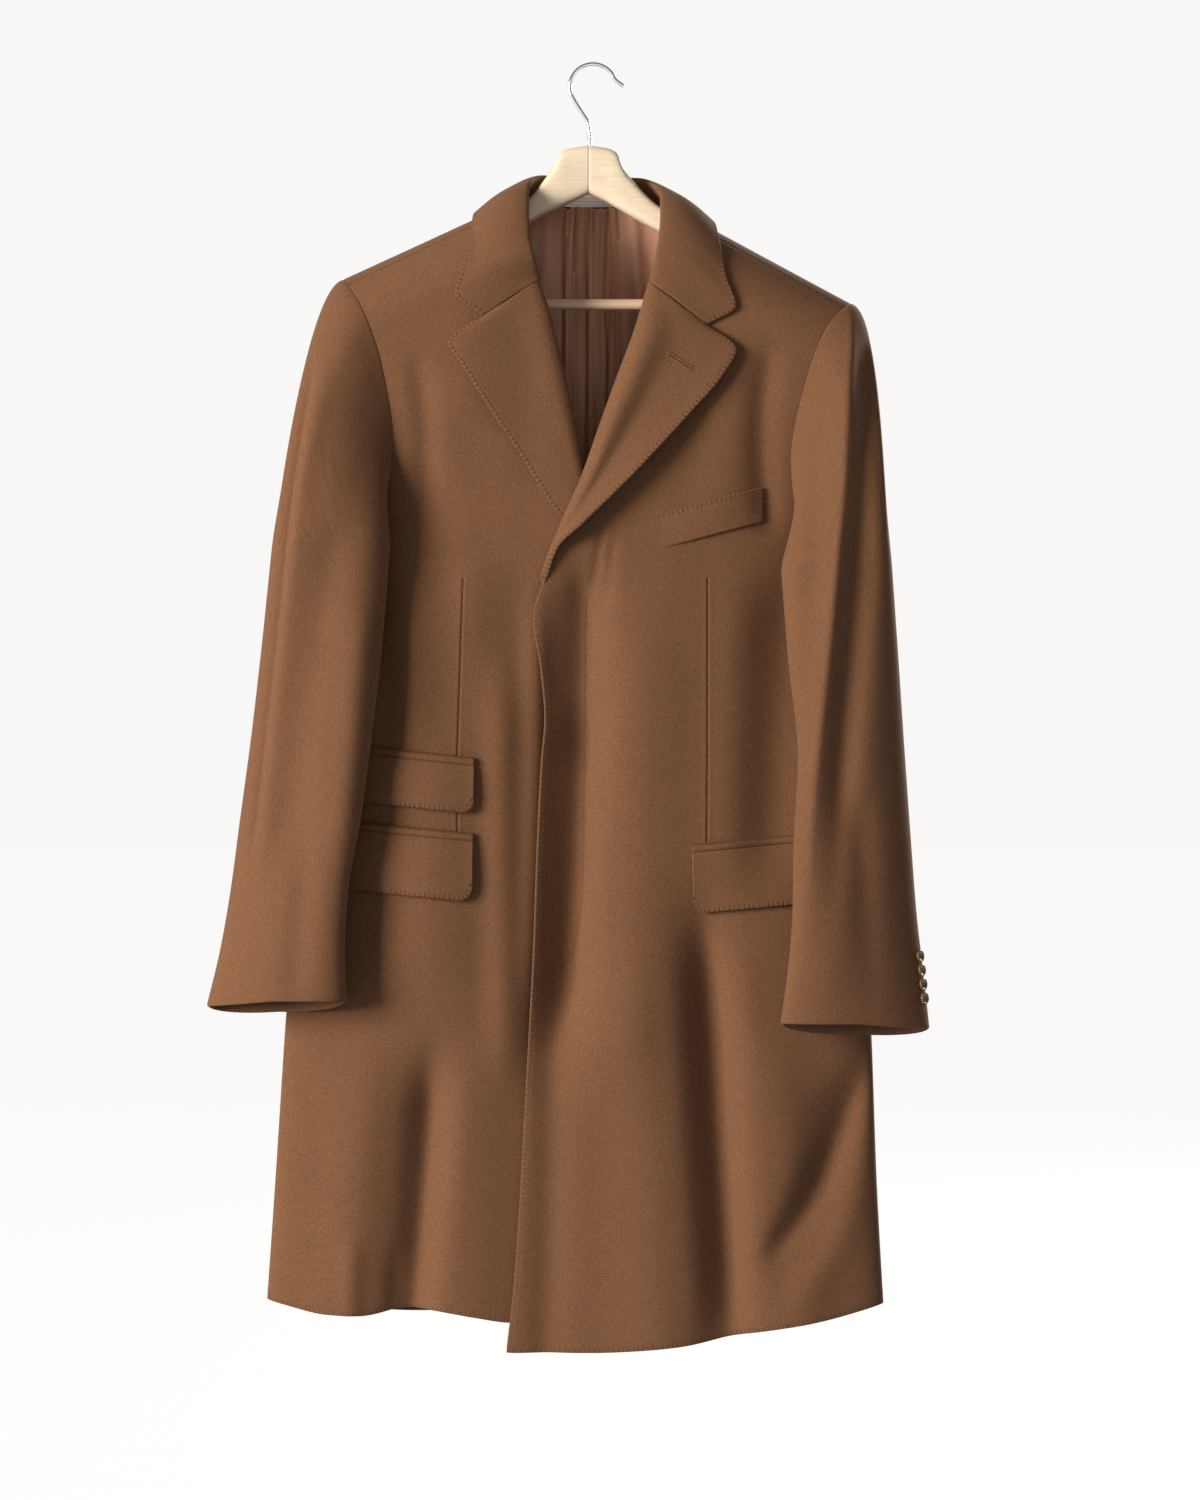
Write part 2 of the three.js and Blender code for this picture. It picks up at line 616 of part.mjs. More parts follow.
// Sleeves: rings below the underarm, and above them a cap that runs from the armhole into the first ring
function sleeveRing(side, z, ringDegrees) {
  const rows = SLEEVE[side];
  const value = (column) => curve(rows, "z", column)(z);
  const angle = radians(ringDegrees);
  const inner = value("inner");
  const outer = value("outer");
  const outward = Math.cos(angle);
  const forward = Math.sin(angle);
  const depth = forward > 0 ? value("front") * forward : value("rear") * forward * (1 + REAR_BIAS * outward);
  const x = (inner + outer) / 2 + ((outer - inner) / 2) * outward;
  const y = value("mid") - depth + (value("sweep") / 2) * outward;
  return new THREE.Vector3(x, y, z);
}

function armholePoint(side, turn) {
  const face = turn <= 180 ? "front" : "back";
  const t = turn <= 180 ? turn / 180 : (360 - turn) / 180;
  const rows = ARMHOLE[side][face];
  const x = curve(rows, "t", "x")(t);
  const z = curve(rows, "t", "z")(t);
  const reach = girth[side](z) * REACH_SHARE;
  const held = Math.sign(x) * Math.min(Math.abs(x), reach);
  return new THREE.Vector3(held, clothY(face, held, z), z);
}

function sleeveSurface(side, turnAt) {
  const sign = side === "right" ? -1 : 1;
  const rows = SLEEVE[side];
  const firstZ = rows[0].z;
  const lastZ = rows[rows.length - 1].z;
  const ringAt = curve(SLEEVE_TURN, "turn", "ring");
  const out = curve(CAP_START, "turn", "out");
  const forward = curve(CAP_START, "turn", "forward");
  const down = curve(CAP_START, "turn", "down");
  return (u, v) => {
    const turn = (turnAt(u) + 360) % 360;
    const ring = ringAt(turn);
    const angle = radians(ring);
    if (v >= CAP_SHARE) {
      const share = (v - CAP_SHARE) / (1 - CAP_SHARE);
      const slant =
        CUFF_SLANT.rear * Math.max(0, -Math.sin(angle)) + CUFF_SLANT.outer * Math.max(0, Math.cos(angle));
      const point = sleeveRing(side, mix(firstZ, lastZ, share), ring);
      point.z -= slant * share * share;
      return point;
    }
    const t = v / CAP_SHARE;
    const start = armholePoint(side, turn);
    const leave = new THREE.Vector3(sign * out(turn), -forward(turn), -down(turn));
    start.addScaledVector(leave.clone().normalize(), SLEEVE_START_GAP);
    const end = sleeveRing(side, firstZ, ring);
    const below = sleeveRing(side, firstZ - 10, ring);
    const arrive = below.sub(end).multiplyScalar(Math.abs(start.z - end.z) * 0.1 + 2);
    const t2 = t * t;
    const t3 = t2 * t;
    return start
      .multiplyScalar(2 * t3 - 3 * t2 + 1)
      .addScaledVector(leave, t3 - 2 * t2 + t)
      .addScaledVector(end, 3 * t2 - 2 * t3)
      .addScaledVector(arrive, t3 - t2);
  };
}

for (const side of ["right", "left"]) {
  const top = sleeveSurface(side, (u) =>
    mix(SLEEVE_BACK_SEAM - 360 + SEAM_TURN_GAP, SLEEVE_FRONT_SEAM - SEAM_TURN_GAP, u),
  );
  const under = sleeveSurface(side, (u) =>
    mix(SLEEVE_FRONT_SEAM + SEAM_TURN_GAP, SLEEVE_BACK_SEAM - SEAM_TURN_GAP, u),
  );
  add(`sleeve_top_${side}`, wall(top, 16, 15, WALL), COLOUR.wool);
  add(`sleeve_under_${side}`, wall(under, 10, 15, WALL), COLOUR.wool);
}

// Lapels: rolled over from the front's edge, then lying on the front
function lapelSurface(side) {
  const rows = LAPEL[side];
  const column = (name) => curve(rows, "t", name);
  const [rollX, rollZ, edgeX, edgeZ] = ["rollX", "rollZ", "edgeX", "edgeZ"].map(column);
  const base = side === "right" ? underlapShift : overlapShift;
  return (u, v) => {
    const width = Math.hypot(edgeX(v) - rollX(v), edgeZ(v) - rollZ(v));
    const x = mix(rollX(v), edgeX(v), u);
    const z = mix(rollZ(v), edgeZ(v), u);
    const run = Math.min(1, (u * width) / (LAPEL_ROLL * 3));
    const rolled = Math.sqrt(1 - (1 - run) ** 2);
    const lift = LAPEL_LIFT + LAPEL_ROLL * rolled * smooth(1.2 - u);
    return new THREE.Vector3(x, clothY("front", x, z) + base(x, z) - lift, z);
  };
}
for (const side of ["right", "left"]) {
  add(`lapel_${side}`, wall(lapelSurface(side), 7, 12, WALL), COLOUR.wool);
}

// Keeps a point of the collar off the cloth below it
function offTheCloth(point, lift) {
  const face = point.y < middleY(point.x) ? "front" : "back";
  const crest = crestZ(point.x);
  if (point.z > crest + lift) return point;
  const surface = clothY(face, point.x, Math.min(point.z, crest - 0.5));
  const sign = face === "front" ? -1 : 1;
  if (sign * (point.y - surface) < lift) point.y = surface + sign * lift;
  return point;
}

// Collar: up from the neck seam inside, over the fold, and down the outside to the leaf's edge
function collarSurface() {
  const place = (name) => {
    const [x, y, z] = [0, 1, 2].map((axis) =>
      curve(COLLAR.map((row) => ({ t: row.t, value: row[name][axis] })), "t", "value"),
    );
    return (t) => new THREE.Vector3(x(t), y(t), z(t));
  };
  const fold = place("fold");
  const edge = place("edge");
  const seam = place("seam");
  return (u, v) => {
    if (v < FOLD_SHARE) {
      return seam(u).lerp(fold(u), v / FOLD_SHARE);
    }
    const share = (v - FOLD_SHARE) / (1 - FOLD_SHARE);
    const point = fold(u).lerp(edge(u), share);
    const out = new THREE.Vector3(point.x, point.y, 0).normalize().multiplyScalar(0.6);
    out.z = 0.8;
    point.addScaledVector(out, LEAF_SWELL * Math.sin(Math.PI * share ** 0.7));
    return offTheCloth(point, LEAF_LIFT * smooth(share * 3));
  };
}
add("collar", wall(collarSurface(), 28, 9, WALL), COLOUR.wool);

// Pieces that lie on a front: a four-sided patch whose lower edge stands off the front by a small rise
function patch({ innerX, innerZ, outerX, outerZ, drop }, lift, rise = 0) {
  return (u, v) => {
    const x = mix(innerX, outerX, u);
    const z = mix(innerZ, outerZ, u) - drop * v;
    return new THREE.Vector3(x, clothY("front", x, z) - lift - rise * v, z);
  };
}
const jetOf = (pocket) => {
  const above = pocket.jet + JET_GAP;
  return { ...pocket, innerZ: pocket.innerZ + above, outerZ: pocket.outerZ + above, drop: pocket.jet };
};

add("ticket_jet", wall(patch(jetOf(TICKET), JET_LIFT), 7, 1, JET_WALL), COLOUR.wool);
add("ticket_flap", wall(patch(TICKET, FLAP_LIFT, FLAP_RISE), 7, 3, FLAP_WALL), COLOUR.wool);
add("hip_jet_right", wall(patch(jetOf(HIP_RIGHT), JET_LIFT), 7, 1, JET_WALL), COLOUR.wool);
add("hip_flap_right", wall(patch(HIP_RIGHT, FLAP_LIFT, FLAP_RISE), 7, 3, FLAP_WALL), COLOUR.wool);
add("hip_jet_left", wall(patch(jetOf(HIP_LEFT), JET_LIFT), 7, 1, JET_WALL), COLOUR.wool);
add("hip_flap_left", wall(patch(HIP_LEFT, FLAP_LIFT, FLAP_RISE), 7, 3, FLAP_WALL), COLOUR.wool);
add("breast_welt", wall(patch(WELT, WELT_LIFT), 6, 2, FLAP_WALL), COLOUR.wool);

// Lining: on the inside of the back, moved in along its own normal. The label lies on the collar's stand.
function insideBack(x, z, inset) {
  const step = 0.5;
  const slopeX = (clothY("back", x + step, z) - clothY("back", x - step, z)) / (2 * step);
  const slopeZ = (clothY("back", x, z + step) - clothY("back", x, z - step)) / (2 * step);
  const inward = new THREE.Vector3(slopeX, -1, slopeZ).normalize();
  return new THREE.Vector3(x, clothY("back", x, z), z).addScaledVector(inward, inset);
}
const liningSurface = (u, v) => {
  const x = mix(-LINING.halfWidth, LINING.halfWidth, u);
  const top = Math.min(LINING.top, crestZ(x) - LINING.clearOfCrest);
  const pleat = LINING.pleat * Math.exp(-((x / LINING.pleatWidth) ** 2));
  return insideBack(x, mix(LINING.bottom, top, v), LINING.inset + pleat);
};
add("lining_back", wall(liningSurface, 18, 10, LINING_WALL), COLOUR.lining, 0, 0.5);
const labelSurface = (u, v) => {
  const x = mix(-LABEL.halfWidth, LABEL.halfWidth, u);
  const y = LABEL.back - LABEL.bow * (x / LABEL.halfWidth) ** 2;
  return new THREE.Vector3(x, y, mix(LABEL.bottom, LABEL.top, v));
};
add("neck_label", wall(labelSurface, 8, 2, LABEL.wall), COLOUR.label, 0, 0.4);

// Cuff buttons stand one above the other beside the outer edge of each sleeve
for (const side of ["right", "left"]) {
  const rows = SLEEVE[side];
  const cuffZ = rows[rows.length - 1].z;
  const outline = [
    [0, 0],
    [BUTTON.radius - BUTTON.rim, 0],
    [BUTTON.radius, BUTTON.rim],
    [BUTTON.radius, BUTTON.thick - BUTTON.rim],
    [BUTTON.radius - BUTTON.rim, BUTTON.thick],
    [0, BUTTON.thick],
  ].map(([x, y]) => new THREE.Vector2(x, y));
  for (let count = 1; count <= 4; count += 1) {
    const z = cuffZ + BUTTON.lowest + BUTTON.spacing * (4 - count);
    const centre = sleeveRing(side, z, BUTTON_RING[side]);
    const round = sleeveRing(side, z, BUTTON_RING[side] + 2).sub(sleeveRing(side, z, BUTTON_RING[side] - 2));
    const along = sleeveRing(side, z + 4, BUTTON_RING[side]).sub(sleeveRing(side, z - 4, BUTTON_RING[side]));
    const normal = round.cross(along).normalize();
    if (normal.dot(centre.clone().sub(sleeveRing(side, z, BUTTON_RING[side] + 180))) < 0) normal.negate();
    const turned = new THREE.LatheGeometry(outline, BUTTON.sides);
    const button = add(`cuff_button_${side}_${count}`, turned, COLOUR.horn, 0, 0.35);
    button.quaternion.setFromUnitVectors(new THREE.Vector3(0, 1, 0), normal);
    button.position.copy(centre).addScaledVector(normal, WALL / 2 + BUTTON.seat);
  }
}

// Solids for joining and cutting
function toSolid(geometry) {
  const bare = geometry.clone();
  bare.deleteAttribute("normal");
  bare.deleteAttribute("uv");
  const merged = mergeVertices(bare, 1e-4);
  return new wasm.Manifold(
    new wasm.Mesh({
      numProp: 3,
      vertProperties: new Float32Array(merged.getAttribute("position").array),
      triVerts: new Uint32Array(merged.getIndex().array),
    }),
  );
}
function toGeometry(solid) {
  const mesh = solid.getMesh();
  return closedSolid(Array.from(mesh.vertProperties), Array.from(mesh.triVerts));
}
function rod(radius, from, to, sides) {
  const length = from.distanceTo(to);
  const geometry = new THREE.CylinderGeometry(radius, radius, length, sides);
  const turn = new THREE.Quaternion().setFromUnitVectors(
    new THREE.Vector3(0, 1, 0),
    to.clone().sub(from).normalize(),
  );
  geometry.applyQuaternion(turn);
  const centre = from.clone().add(to).multiplyScalar(0.5);
  geometry.translate(centre.x, centre.y, centre.z);
  return geometry;
}

// Hook: a chrome wire that stands in the yoke, leans over to the ring and ends in an outward tip
const ringCentre = new THREE.Vector3(0, 0, HOOK.wire / 2 - HOOK.ring);
const ringPoint = (degrees) =>
  new THREE.Vector3(Math.cos(radians(degrees)), 0, Math.sin(radians(degrees)))
    .multiplyScalar(HOOK.ring)
    .add(ringCentre);
const inHookPlane = ({ x, z }) => new THREE.Vector3(x, 0, z);
const hookRoute = HOOK_STEM.map(inHookPlane);
for (let degrees = HOOK_RING.from; degrees >= HOOK_RING.to; degrees -= HOOK_RING.step) {
  hookRoute.push(ringPoint(degrees));
}
hookRoute.push(...HOOK_TIP.map(inHookPlane));
const wireSection = new THREE.Shape().absarc(0, 0, HOOK.wire / 2, 0, Math.PI * 2);
const hook = new THREE.ExtrudeGeometry(wireSection, {
  steps: 44,
  curveSegments: 5,
  extrudePath: new THREE.CatmullRomCurve3(hookRoute, false, "centripetal"),
});
add("hanger_hook", hook, COLOUR.chrome, 1, 0.15);

// Arms: sections with rounded edges along each side of the yoke, swept forward with the shoulder
function armSolid(side) {
  const rows = HANGER_ARM[side];
  const around = 16;
  const positions = [];
  for (const { x, top, bottom, half } of rows) {
    for (let i = 0; i < around; i += 1) {
      const angle = (i / around) * Math.PI * 2;
      const squared = (value) => Math.sign(value) * Math.abs(value) ** 0.7;
      positions.push(
        x,
        middleY(x) + half * squared(Math.cos(angle)),
        (top + bottom) / 2 + ((top - bottom) / 2) * squared(Math.sin(angle)),
      );
    }
  }
  const index = [];
  for (let j = 0; j < rows.length - 1; j += 1) {
    for (let i = 0; i < around; i += 1) {
      const [a, b] = [j * around + i, j * around + ((i + 1) % around)];
      index.push(a, b, b + around, a, b + around, a + around);
    }
  }
  for (let i = 1; i < around - 1; i += 1) {
    index.push(0, i + 1, i);
    const end = (rows.length - 1) * around;
    index.push(end, end + i, end + i + 1);
  }
  return closedSolid(positions, index);
}
const barEnd = (sign) => {
  const x = sign * BAR.reach;
  return new THREE.Vector3(x, middleY(x), BAR.z);
};
const barRod = rod(BAR.radius, barEnd(-1), barEnd(1), 16);
const barBore = toSolid(
  rod(
    BAR.radius + BORE_CLEARANCE,
    barEnd(-1).add(new THREE.Vector3(-BORE_CLEARANCE, 0, 0)),
    barEnd(1).add(new THREE.Vector3(BORE_CLEARANCE, 0, 0)),
    16,
  ),
);
const stemBore = toSolid(
  rod(
    HOOK.wire / 2 + BORE_CLEARANCE,
    new THREE.Vector3(HOOK.stemX, 0, HOOK.stemFoot - BORE_CLEARANCE),
    new THREE.Vector3(HOOK.stemX, 0, HOOK.boreTop),
    12,
  ),
);
for (const side of ["right", "left"]) {
  const arm = toSolid(armSolid(side)).subtract(barBore).subtract(stemBore);
  add(`hanger_arm_${side}`, toGeometry(arm), COLOUR.wood, 0, 0.5);
}
add("hanger_bar", barRod, COLOUR.bar, 0, 0.45);

export default coat;
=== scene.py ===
"""A wool overcoat on a wooden hanger: the cloth, linings, buttons and hanger over the CAD frame.

The tables are in millimetres, in the frame of the CAD model: X to the wearer's left, Y to the back, Z up,
origin inside the top of the hook. Meshes are made in metres. Every cloth is a grid of points, worked out
with whole numpy arrays and given a thickness along its own normals. The buttons and the hanger are rings of
points joined into tubes.
"""

import math

import bpy
import numpy as np
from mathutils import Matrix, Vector


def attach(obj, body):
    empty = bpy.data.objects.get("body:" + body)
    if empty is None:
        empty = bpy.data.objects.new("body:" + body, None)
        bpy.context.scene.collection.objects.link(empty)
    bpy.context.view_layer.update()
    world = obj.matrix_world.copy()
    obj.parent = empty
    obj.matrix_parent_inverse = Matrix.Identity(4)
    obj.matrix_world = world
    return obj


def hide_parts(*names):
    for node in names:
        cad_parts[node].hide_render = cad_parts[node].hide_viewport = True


MM = 0.001
TINY = 1e-9
AT_ONCE = 4000

# Thickness of the cloths: panels, lapels and collar, then the small pieces
WALL = 2.4
EDGED_WALL = 2.9
FLAP_WALL = 2.6
JET_WALL = 2.0
WELT_WALL = 2.0
LINING_WALL = 0.8
LABEL_WALL = 0.8
# Gap between two panels at their seam
SEAM_GAP = 0.3
# Steps round the rim that joins a cloth's two layers, in degrees from the upper layer
RIM_TURNS = (45, 90, 135)

# Columns and rows of each grid
GRID = {
    "front": (96, 300), "back": (64, 220), "sleeve_top": (96, 150), "sleeve_under": (54, 150),
    "lapel": (48, 120), "collar": (200, 64), "flap": (90, 28), "jet": (60, 8), "welt": (80, 20),
    "lining": (120, 110), "label": (60, 12),
}

# Shoulder crest, and the form of the body: z, reach to the right and to the left, depth in front and behind
CREST_PEAK = -90
CREST_SLOPE = {"right": 0.47, "left": 0.55}
CREST_ROUND = 60
ARM_SWEEP = 16
SWEEP_REACH = 240
REACH_SHARE = 0.99999
GIRTH = [
    (-80, 300, 306, 58, 46),
    (-230, 298, 306, 60, 48),
    (-300, 268, 284, 60, 50),
    (-350, 238, 250, 60, 50),
    (-398, 213, 220, 59, 49),
    (-421, 218, 214, 59, 49),
    (-440, 225, 216, 58, 48),
    (-520, 242, 224, 55, 46),
    (-640, 256, 234, 51, 43),
    (-740, 265, 241, 48, 41),
    (-860, 274, 248, 46, 40),
    (-1000, 283, 253, 44, 40),
    (-1160, 294, 262, 44, 40),
]
GIRTH_COLUMN = {"right": 1, "left": 2, "front": 3, "back": 4}

# A fold fades over this part of its length at each end, and towards the side seams and the shoulder
FOLD_FADE = 1 / 4
FOLD_SIDE = 1.6
FOLD_CREST = 2
# Folds: top and bottom z, x at the top, half-way and at the bottom, width, and rise (a trough is negative).
# The broad ones are the CAD model's, and the narrow ones are drawn here from the photograph.
FOLDS = {
    "front": [
        (-440, -960, -24, -24, -38, 24, -9),
        (-430, -980, 30, 30, 14, 34, 7),
        (-340, -640, -150, -138, -136, 26, -5),
        (-860, -1230, -140, -160, -176, 27, -11),
        (-840, -1230, -196, -214, -232, 30, 6),
        (-700, -1240, 92, 108, 128, 27, -11),
        (-760, -1240, 42, 52, 62, 36, 7),
        (-880, -1120, 236, 205, 160, 26, -8),
        (-820, -1240, 150, 176, 200, 26, 5),
        (-430, -650, -8, -6, -14, 18, -12),
        (-430, -900, 16, 14, 4, 30, -4),
        (-560, -900, -4, -16, -30, 17, -12),
        (-430, -900, -50, -52, -58, 12, 6),
        (-405, -480, 9, 5, 1, 3.5, -2.6),
        (-420, -500, 18, 15, 10, 4, -2),
        (-500, -940, -80, -79, -76, 17, 8),
        (-400, -900, -152, -150, -150, 46, 12),
        (-430, -900, 78, 76, 74, 50, 3),
        (-820, -1260, -34, -38, -44, 16, -5),
        (-730, -1170, 97, 111, 126, 14, -9),
        (-760, -1200, 70, 84, 98, 15, 3),
        (-760, -1200, 130, 142, 156, 17, 3),
        (-865, -1095, 256, 211, 142, 15, -7),
        (-890, -1130, 276, 238, 174, 19, 3),
        (-860, -1180, -142, -151, -166, 13, -6),
        (-870, -1200, -118, -128, -146, 14, 2),
        (-870, -1200, -166, -176, -192, 14, 2),
        (-420, -760, 176, 166, 160, 30, -9),
        (-440, -760, 128, 124, 122, 22, 2.5),
        (-250, -430, -160, -148, -156, 12, -4),
        (-240, -440, 160, 150, 160, 13, -5),
        (-300, -470, -112, -104, -96, 26, -4),
        (-260, -440, 118, 116, 112, 26, 3),
        (-430, -640, -196, -184, -180, 16, -5),
        (-1040, -1180, -214, -216, -218, 9, 2.4),
        (-1050, -1180, -176, -178, -182, 8, -2.2),
    ],
    "back": [
        (-260, -900, -120, -106, -116, 34, -9),
        (-300, -940, 118, 100, 112, 30, -8),
        (-600, -1240, -58, -68, -84, 24, 10),
        (-640, -1240, -26, -32, -40, 15, -6),
        (-560, -1240, 62, 76, 94, 26, 10),
        (-700, -1240, 28, 36, 50, 15, -6),
        (-760, -1240, -150, -166, -186, 24, -10),
        (-740, -1240, 150, 158, 172, 22, -10),
        (-300, -560, -168, -150, -160, 13, -4),
        (-290, -580, 164, 150, 158, 13, -4.4),
        (-420, -760, -40, -46, -52, 16, -3.6),
        (-480, -820, 36, 44, 48, 16, -4),
        (-900, -1240, -108, -116, -126, 13, -4.5),
        (-880, -1240, 112, 122, 134, 13, -4),
        (-180, -300, -96, -90, -80, 20, -2.6),
        (-184, -310, 96, 88, 78, 20, -2.6),
    ],
}

# Inner edges of the fronts from hem to shoulder point, x and z
FRONT_EDGE = {
    "left": [
        (-76, -1151), (-69, -1088), (-64, -1015), (-57, -885), (-52, -790), (-49, -705), (-45, -625),
        (-42, -588), (-46, -540), (-52, -500), (-42, -462), (-32, -438), (-12, -392), (15, -319),
        (49, -223), (55, -199), (64, -165), (75, -131.25),
    ],
    "right": [
        (22, -1125), (26, -1015), (30, -885), (34, -790), (38, -705), (42, -625), (46, -540), (48, -500),
        (42, -462), (12, -415), (-13, -368), (-24, -316), (-35, -266), (-43, -231), (-54, -196),
        (-64, -160), (-75, -125.25),
    ],
}
# Below this height a front's own edge is stitched, and above it the lapel's is
BREAK_ROW_Z = -470
# Inner edges of the backs: z up the centre seam, then x and z along the neck, then x at the shoulder point
BACK_SEAM = [-1126, -700, -300, -132]
BACK_NECK = [(12, -125), (40, -124)]
NECK_WIDTH = 75
# How far the right front lies in and the left front out, and between which x that comes on
UNDERLAP = {"set": 9, "from": -120, "to": -50, "below_crest": 10}
OVERLAP = {"set": 1.5, "from": 110, "to": 60}
# Share of a panel's rows along its side seam, and of those that bend to the hem
SEAM_SHARE = 0.66
HEM_SHARE = 0.12

# Armholes: share of the way down, x and z
ARMHOLE = {
    ("right", "front"): [
        (0, -222, -194.34), (0.16, -203, -225), (0.34, -187, -273), (0.56, -178, -335),
        (0.74, -183, -374), (0.88, -196, -391), (1, -213, -398),
    ],
    ("right", "back"): [
        (0, -222, -194.34), (0.16, -210, -224), (0.34, -199, -266), (0.56, -192, -320),
        (0.74, -194, -362), (0.88, -202, -386), (1, -213, -398),
    ],
    ("left", "front"): [
        (0, 229, -215.95), (0.16, 207, -240), (0.34, 189, -285), (0.56, 176, -352),
        (0.74, 181, -396), (0.88, 196, -414), (1, 214, -421),
    ],
    ("left", "back"): [
        (0, 229, -215.95), (0.16, 216, -246), (0.34, 203, -289), (0.56, 194, -344),
        (0.74, 195, -386), (0.88, 203, -410), (1, 214, -421),
    ],
}

# Hems, x and z
HEM = {
    ("right", "front"): [
        (-292, -1105), (-276, -1109), (-237, -1117), (-206, -1118), (-167, -1112), (-141, -1114),
        (-106, -1120), (-76, -1125), (40, -1131),
    ],
    ("left", "front"): [
        (-80, -1151), (-5, -1151), (72, -1146), (130, -1136), (207, -1123), (262, -1109),
    ],
    "back": [
        (-292, -1105), (-200, -1118), (-100, -1124), (0, -1126), (120, -1123), (200, -1117), (262, -1109),
    ],
}

# Sleeves: z, inner x, outer x, middle y, depth in front, depth behind, sweep of the outer edge to the back
SLEEVE = {
    "right": [
        (-440, -181, -283, -70, 28, 31, 0), (-520, -187, -292, -68, 28, 31, 14),
        (-600, -196, -302, -65, 27, 30, 26), (-676, -206, -313, -61, 26, 29, 34),
        (-740, -217, -322, -60, 25, 28, 38), (-790, -220, -331, -60, 25, 27, 36),
        (-836, -219, -342, -61, 25, 26, 28),
    ],
    "left": [
        (-462, 168, 264, -70, 28, 31, 0), (-540, 174, 270, -68, 28, 31, 14),
        (-620, 182, 276, -65, 27, 30, 26), (-700, 178, 282, -66, 26, 29, 34),
        (-760, 177, 287, -65, 25, 28, 38), (-810, 173, 293, -64, 25, 27, 36),
        (-856, 167, 298, -61, 25, 26, 28),
    ],
}
CUFF_SLANT = {"rear": 12, "outer": 6}
REAR_BIAS = 0.45
# Turn round the armhole against turn round the free sleeve, in degrees, and the turns of the two seams
SLEEVE_TURN = [
    (0, 18), (90, 98), (135, 162), (158, 202), (180, 246), (200, 272), (225, 298), (270, 330), (360, 378),
]
SLEEVE_FRONT_SEAM = 158
SLEEVE_BACK_SEAM = 300
SEAM_TURN_GAP = 0.25
# Run of the cap as it leaves the armhole: turn, outward, forward, down
CAP_START = [
    (0, 78, 0, 12), (45, 56, 22, 20), (90, 44, 34, 30), (135, 4, 60, 20), (158, 4, 70, 10),
    (180, 16, 76, 2), (200, 52, 22, 0), (225, 68, -6, 4), (270, 62, -22, 26), (315, 66, -20, 20),
    (360, 78, 0, 12),
]
CAP_SHARE = 0.42
SLEEVE_START_GAP = 2.0
# The cap meets the first ring on the way to one this far below it, with a pull that grows with its height
CAP_STEP = 10
CAP_PULL = {"least": 2, "by_height": 0.1}
# Creases of the sleeves: places (z, x) up the line, width, rise, and how round the crest is (1 is sharp)
SLEEVE_CREASES = {
    "left": [
        ([(-760, 190), (-700, 192), (-624, 198), (-520, 208), (-434, 216), (-377, 222), (-290, 226),
          (-235, 228)], 9, 8, 1.0),
        ([(-800, 208), (-700, 214), (-576, 223), (-434, 236), (-330, 242), (-260, 244)], 14, -9, 2.0),
        ([(-640, 182), (-520, 190), (-420, 196), (-330, 200)], 12, -2.5, 2.0),
        ([(-856, 246), (-760, 240), (-660, 236)], 14, -4, 2.0),
        ([(-850, 206), (-760, 210), (-660, 214)], 14, 3, 2.0),
    ],
    "right": [
        ([(-700, -302), (-600, -290), (-520, -280), (-440, -271), (-360, -261), (-280, -249)], 4, -4.5, 1.4),
        ([(-720, -292), (-600, -280), (-520, -271), (-440, -262), (-360, -252), (-290, -241)], 9, 2.5, 1.6),
        ([(-713, -272), (-624, -259), (-500, -240), (-420, -224)], 22, -6, 2.0),
        ([(-700, -222), (-600, -212), (-500, -204)], 12, 3, 2.0),
        ([(-830, -262), (-760, -258), (-690, -252)], 13, -3, 2.0),
    ],
}

# A crease runs this far past its places, and fades in over a length at its head and at its foot
CREASE_PAST = 30
CREASE_HEAD = 60
CREASE_FOOT = {"left": 190, "right": 60}
CREASE_TIP = 1
CREASE_FACING = 1.6

# Lapels: share of the way up, roll line x and z, edge x and z
LAPEL = {
    "left": [
        (0, -46, -463, -43, -467), (0.12, -37, -438, -31, -436), (0.25, -27, -414, -8, -414),
        (0.4, -9, -373, 38, -369), (0.58, 8, -325, 85, -318), (0.74, 24, -281, 114, -284),
        (0.86, 37, -246, 126, -261), (1, 50, -203, 101, -240),
    ],
    "right": [
        (0, 36, -462, 34, -466), (0.14, 12, -418, 4, -434), (0.28, -8, -368, -27, -409),
        (0.45, -17, -324, -64, -352), (0.62, -25, -286, -95, -306), (0.76, -33, -252, -115, -274),
        (0.88, -41, -222, -127, -254), (1, -49, -200, -97, -232),
    ],
}
# Radius of the roll, its breadth in radii, where the roll's extra lift ends, and the bow beyond it
LAPEL_ROLL = 3.4
ROLL_BREADTH = 3
ROLL_END = 1.2
LAPEL_LIFT = 3.3
LAPEL_FOOT_LIFT = 0.4
LAPEL_FOOT = 0.1
LAPEL_BOW = 1.6
BOW_WIDTH = 60
LAPEL_CROWD = 1.25
# The crest beside the roll line: height, place and width across, then where it comes on and fades going up
LAPEL_CREST = {"left": 8, "right": 1.5}
CREST_PLACE = 0.14
CREST_WIDTH = 0.17
CREST_FROM = 0.12
CREST_RISE = 0.5
CREST_FALL = 0.2
# How far a lapel's edge stands off the front, by the share of the way up
STAND_POWER = 1.5
LAPEL_STAND = {
    "left": [(0, 0), (0.1, 5), (0.24, 15), (0.42, 15), (0.62, 9), (0.85, 5), (1, 0)],
    "right": [(0, 0), (0.14, 4), (0.3, 8), (0.5, 8), (0.7, 6), (0.88, 4), (1, 0)],
}

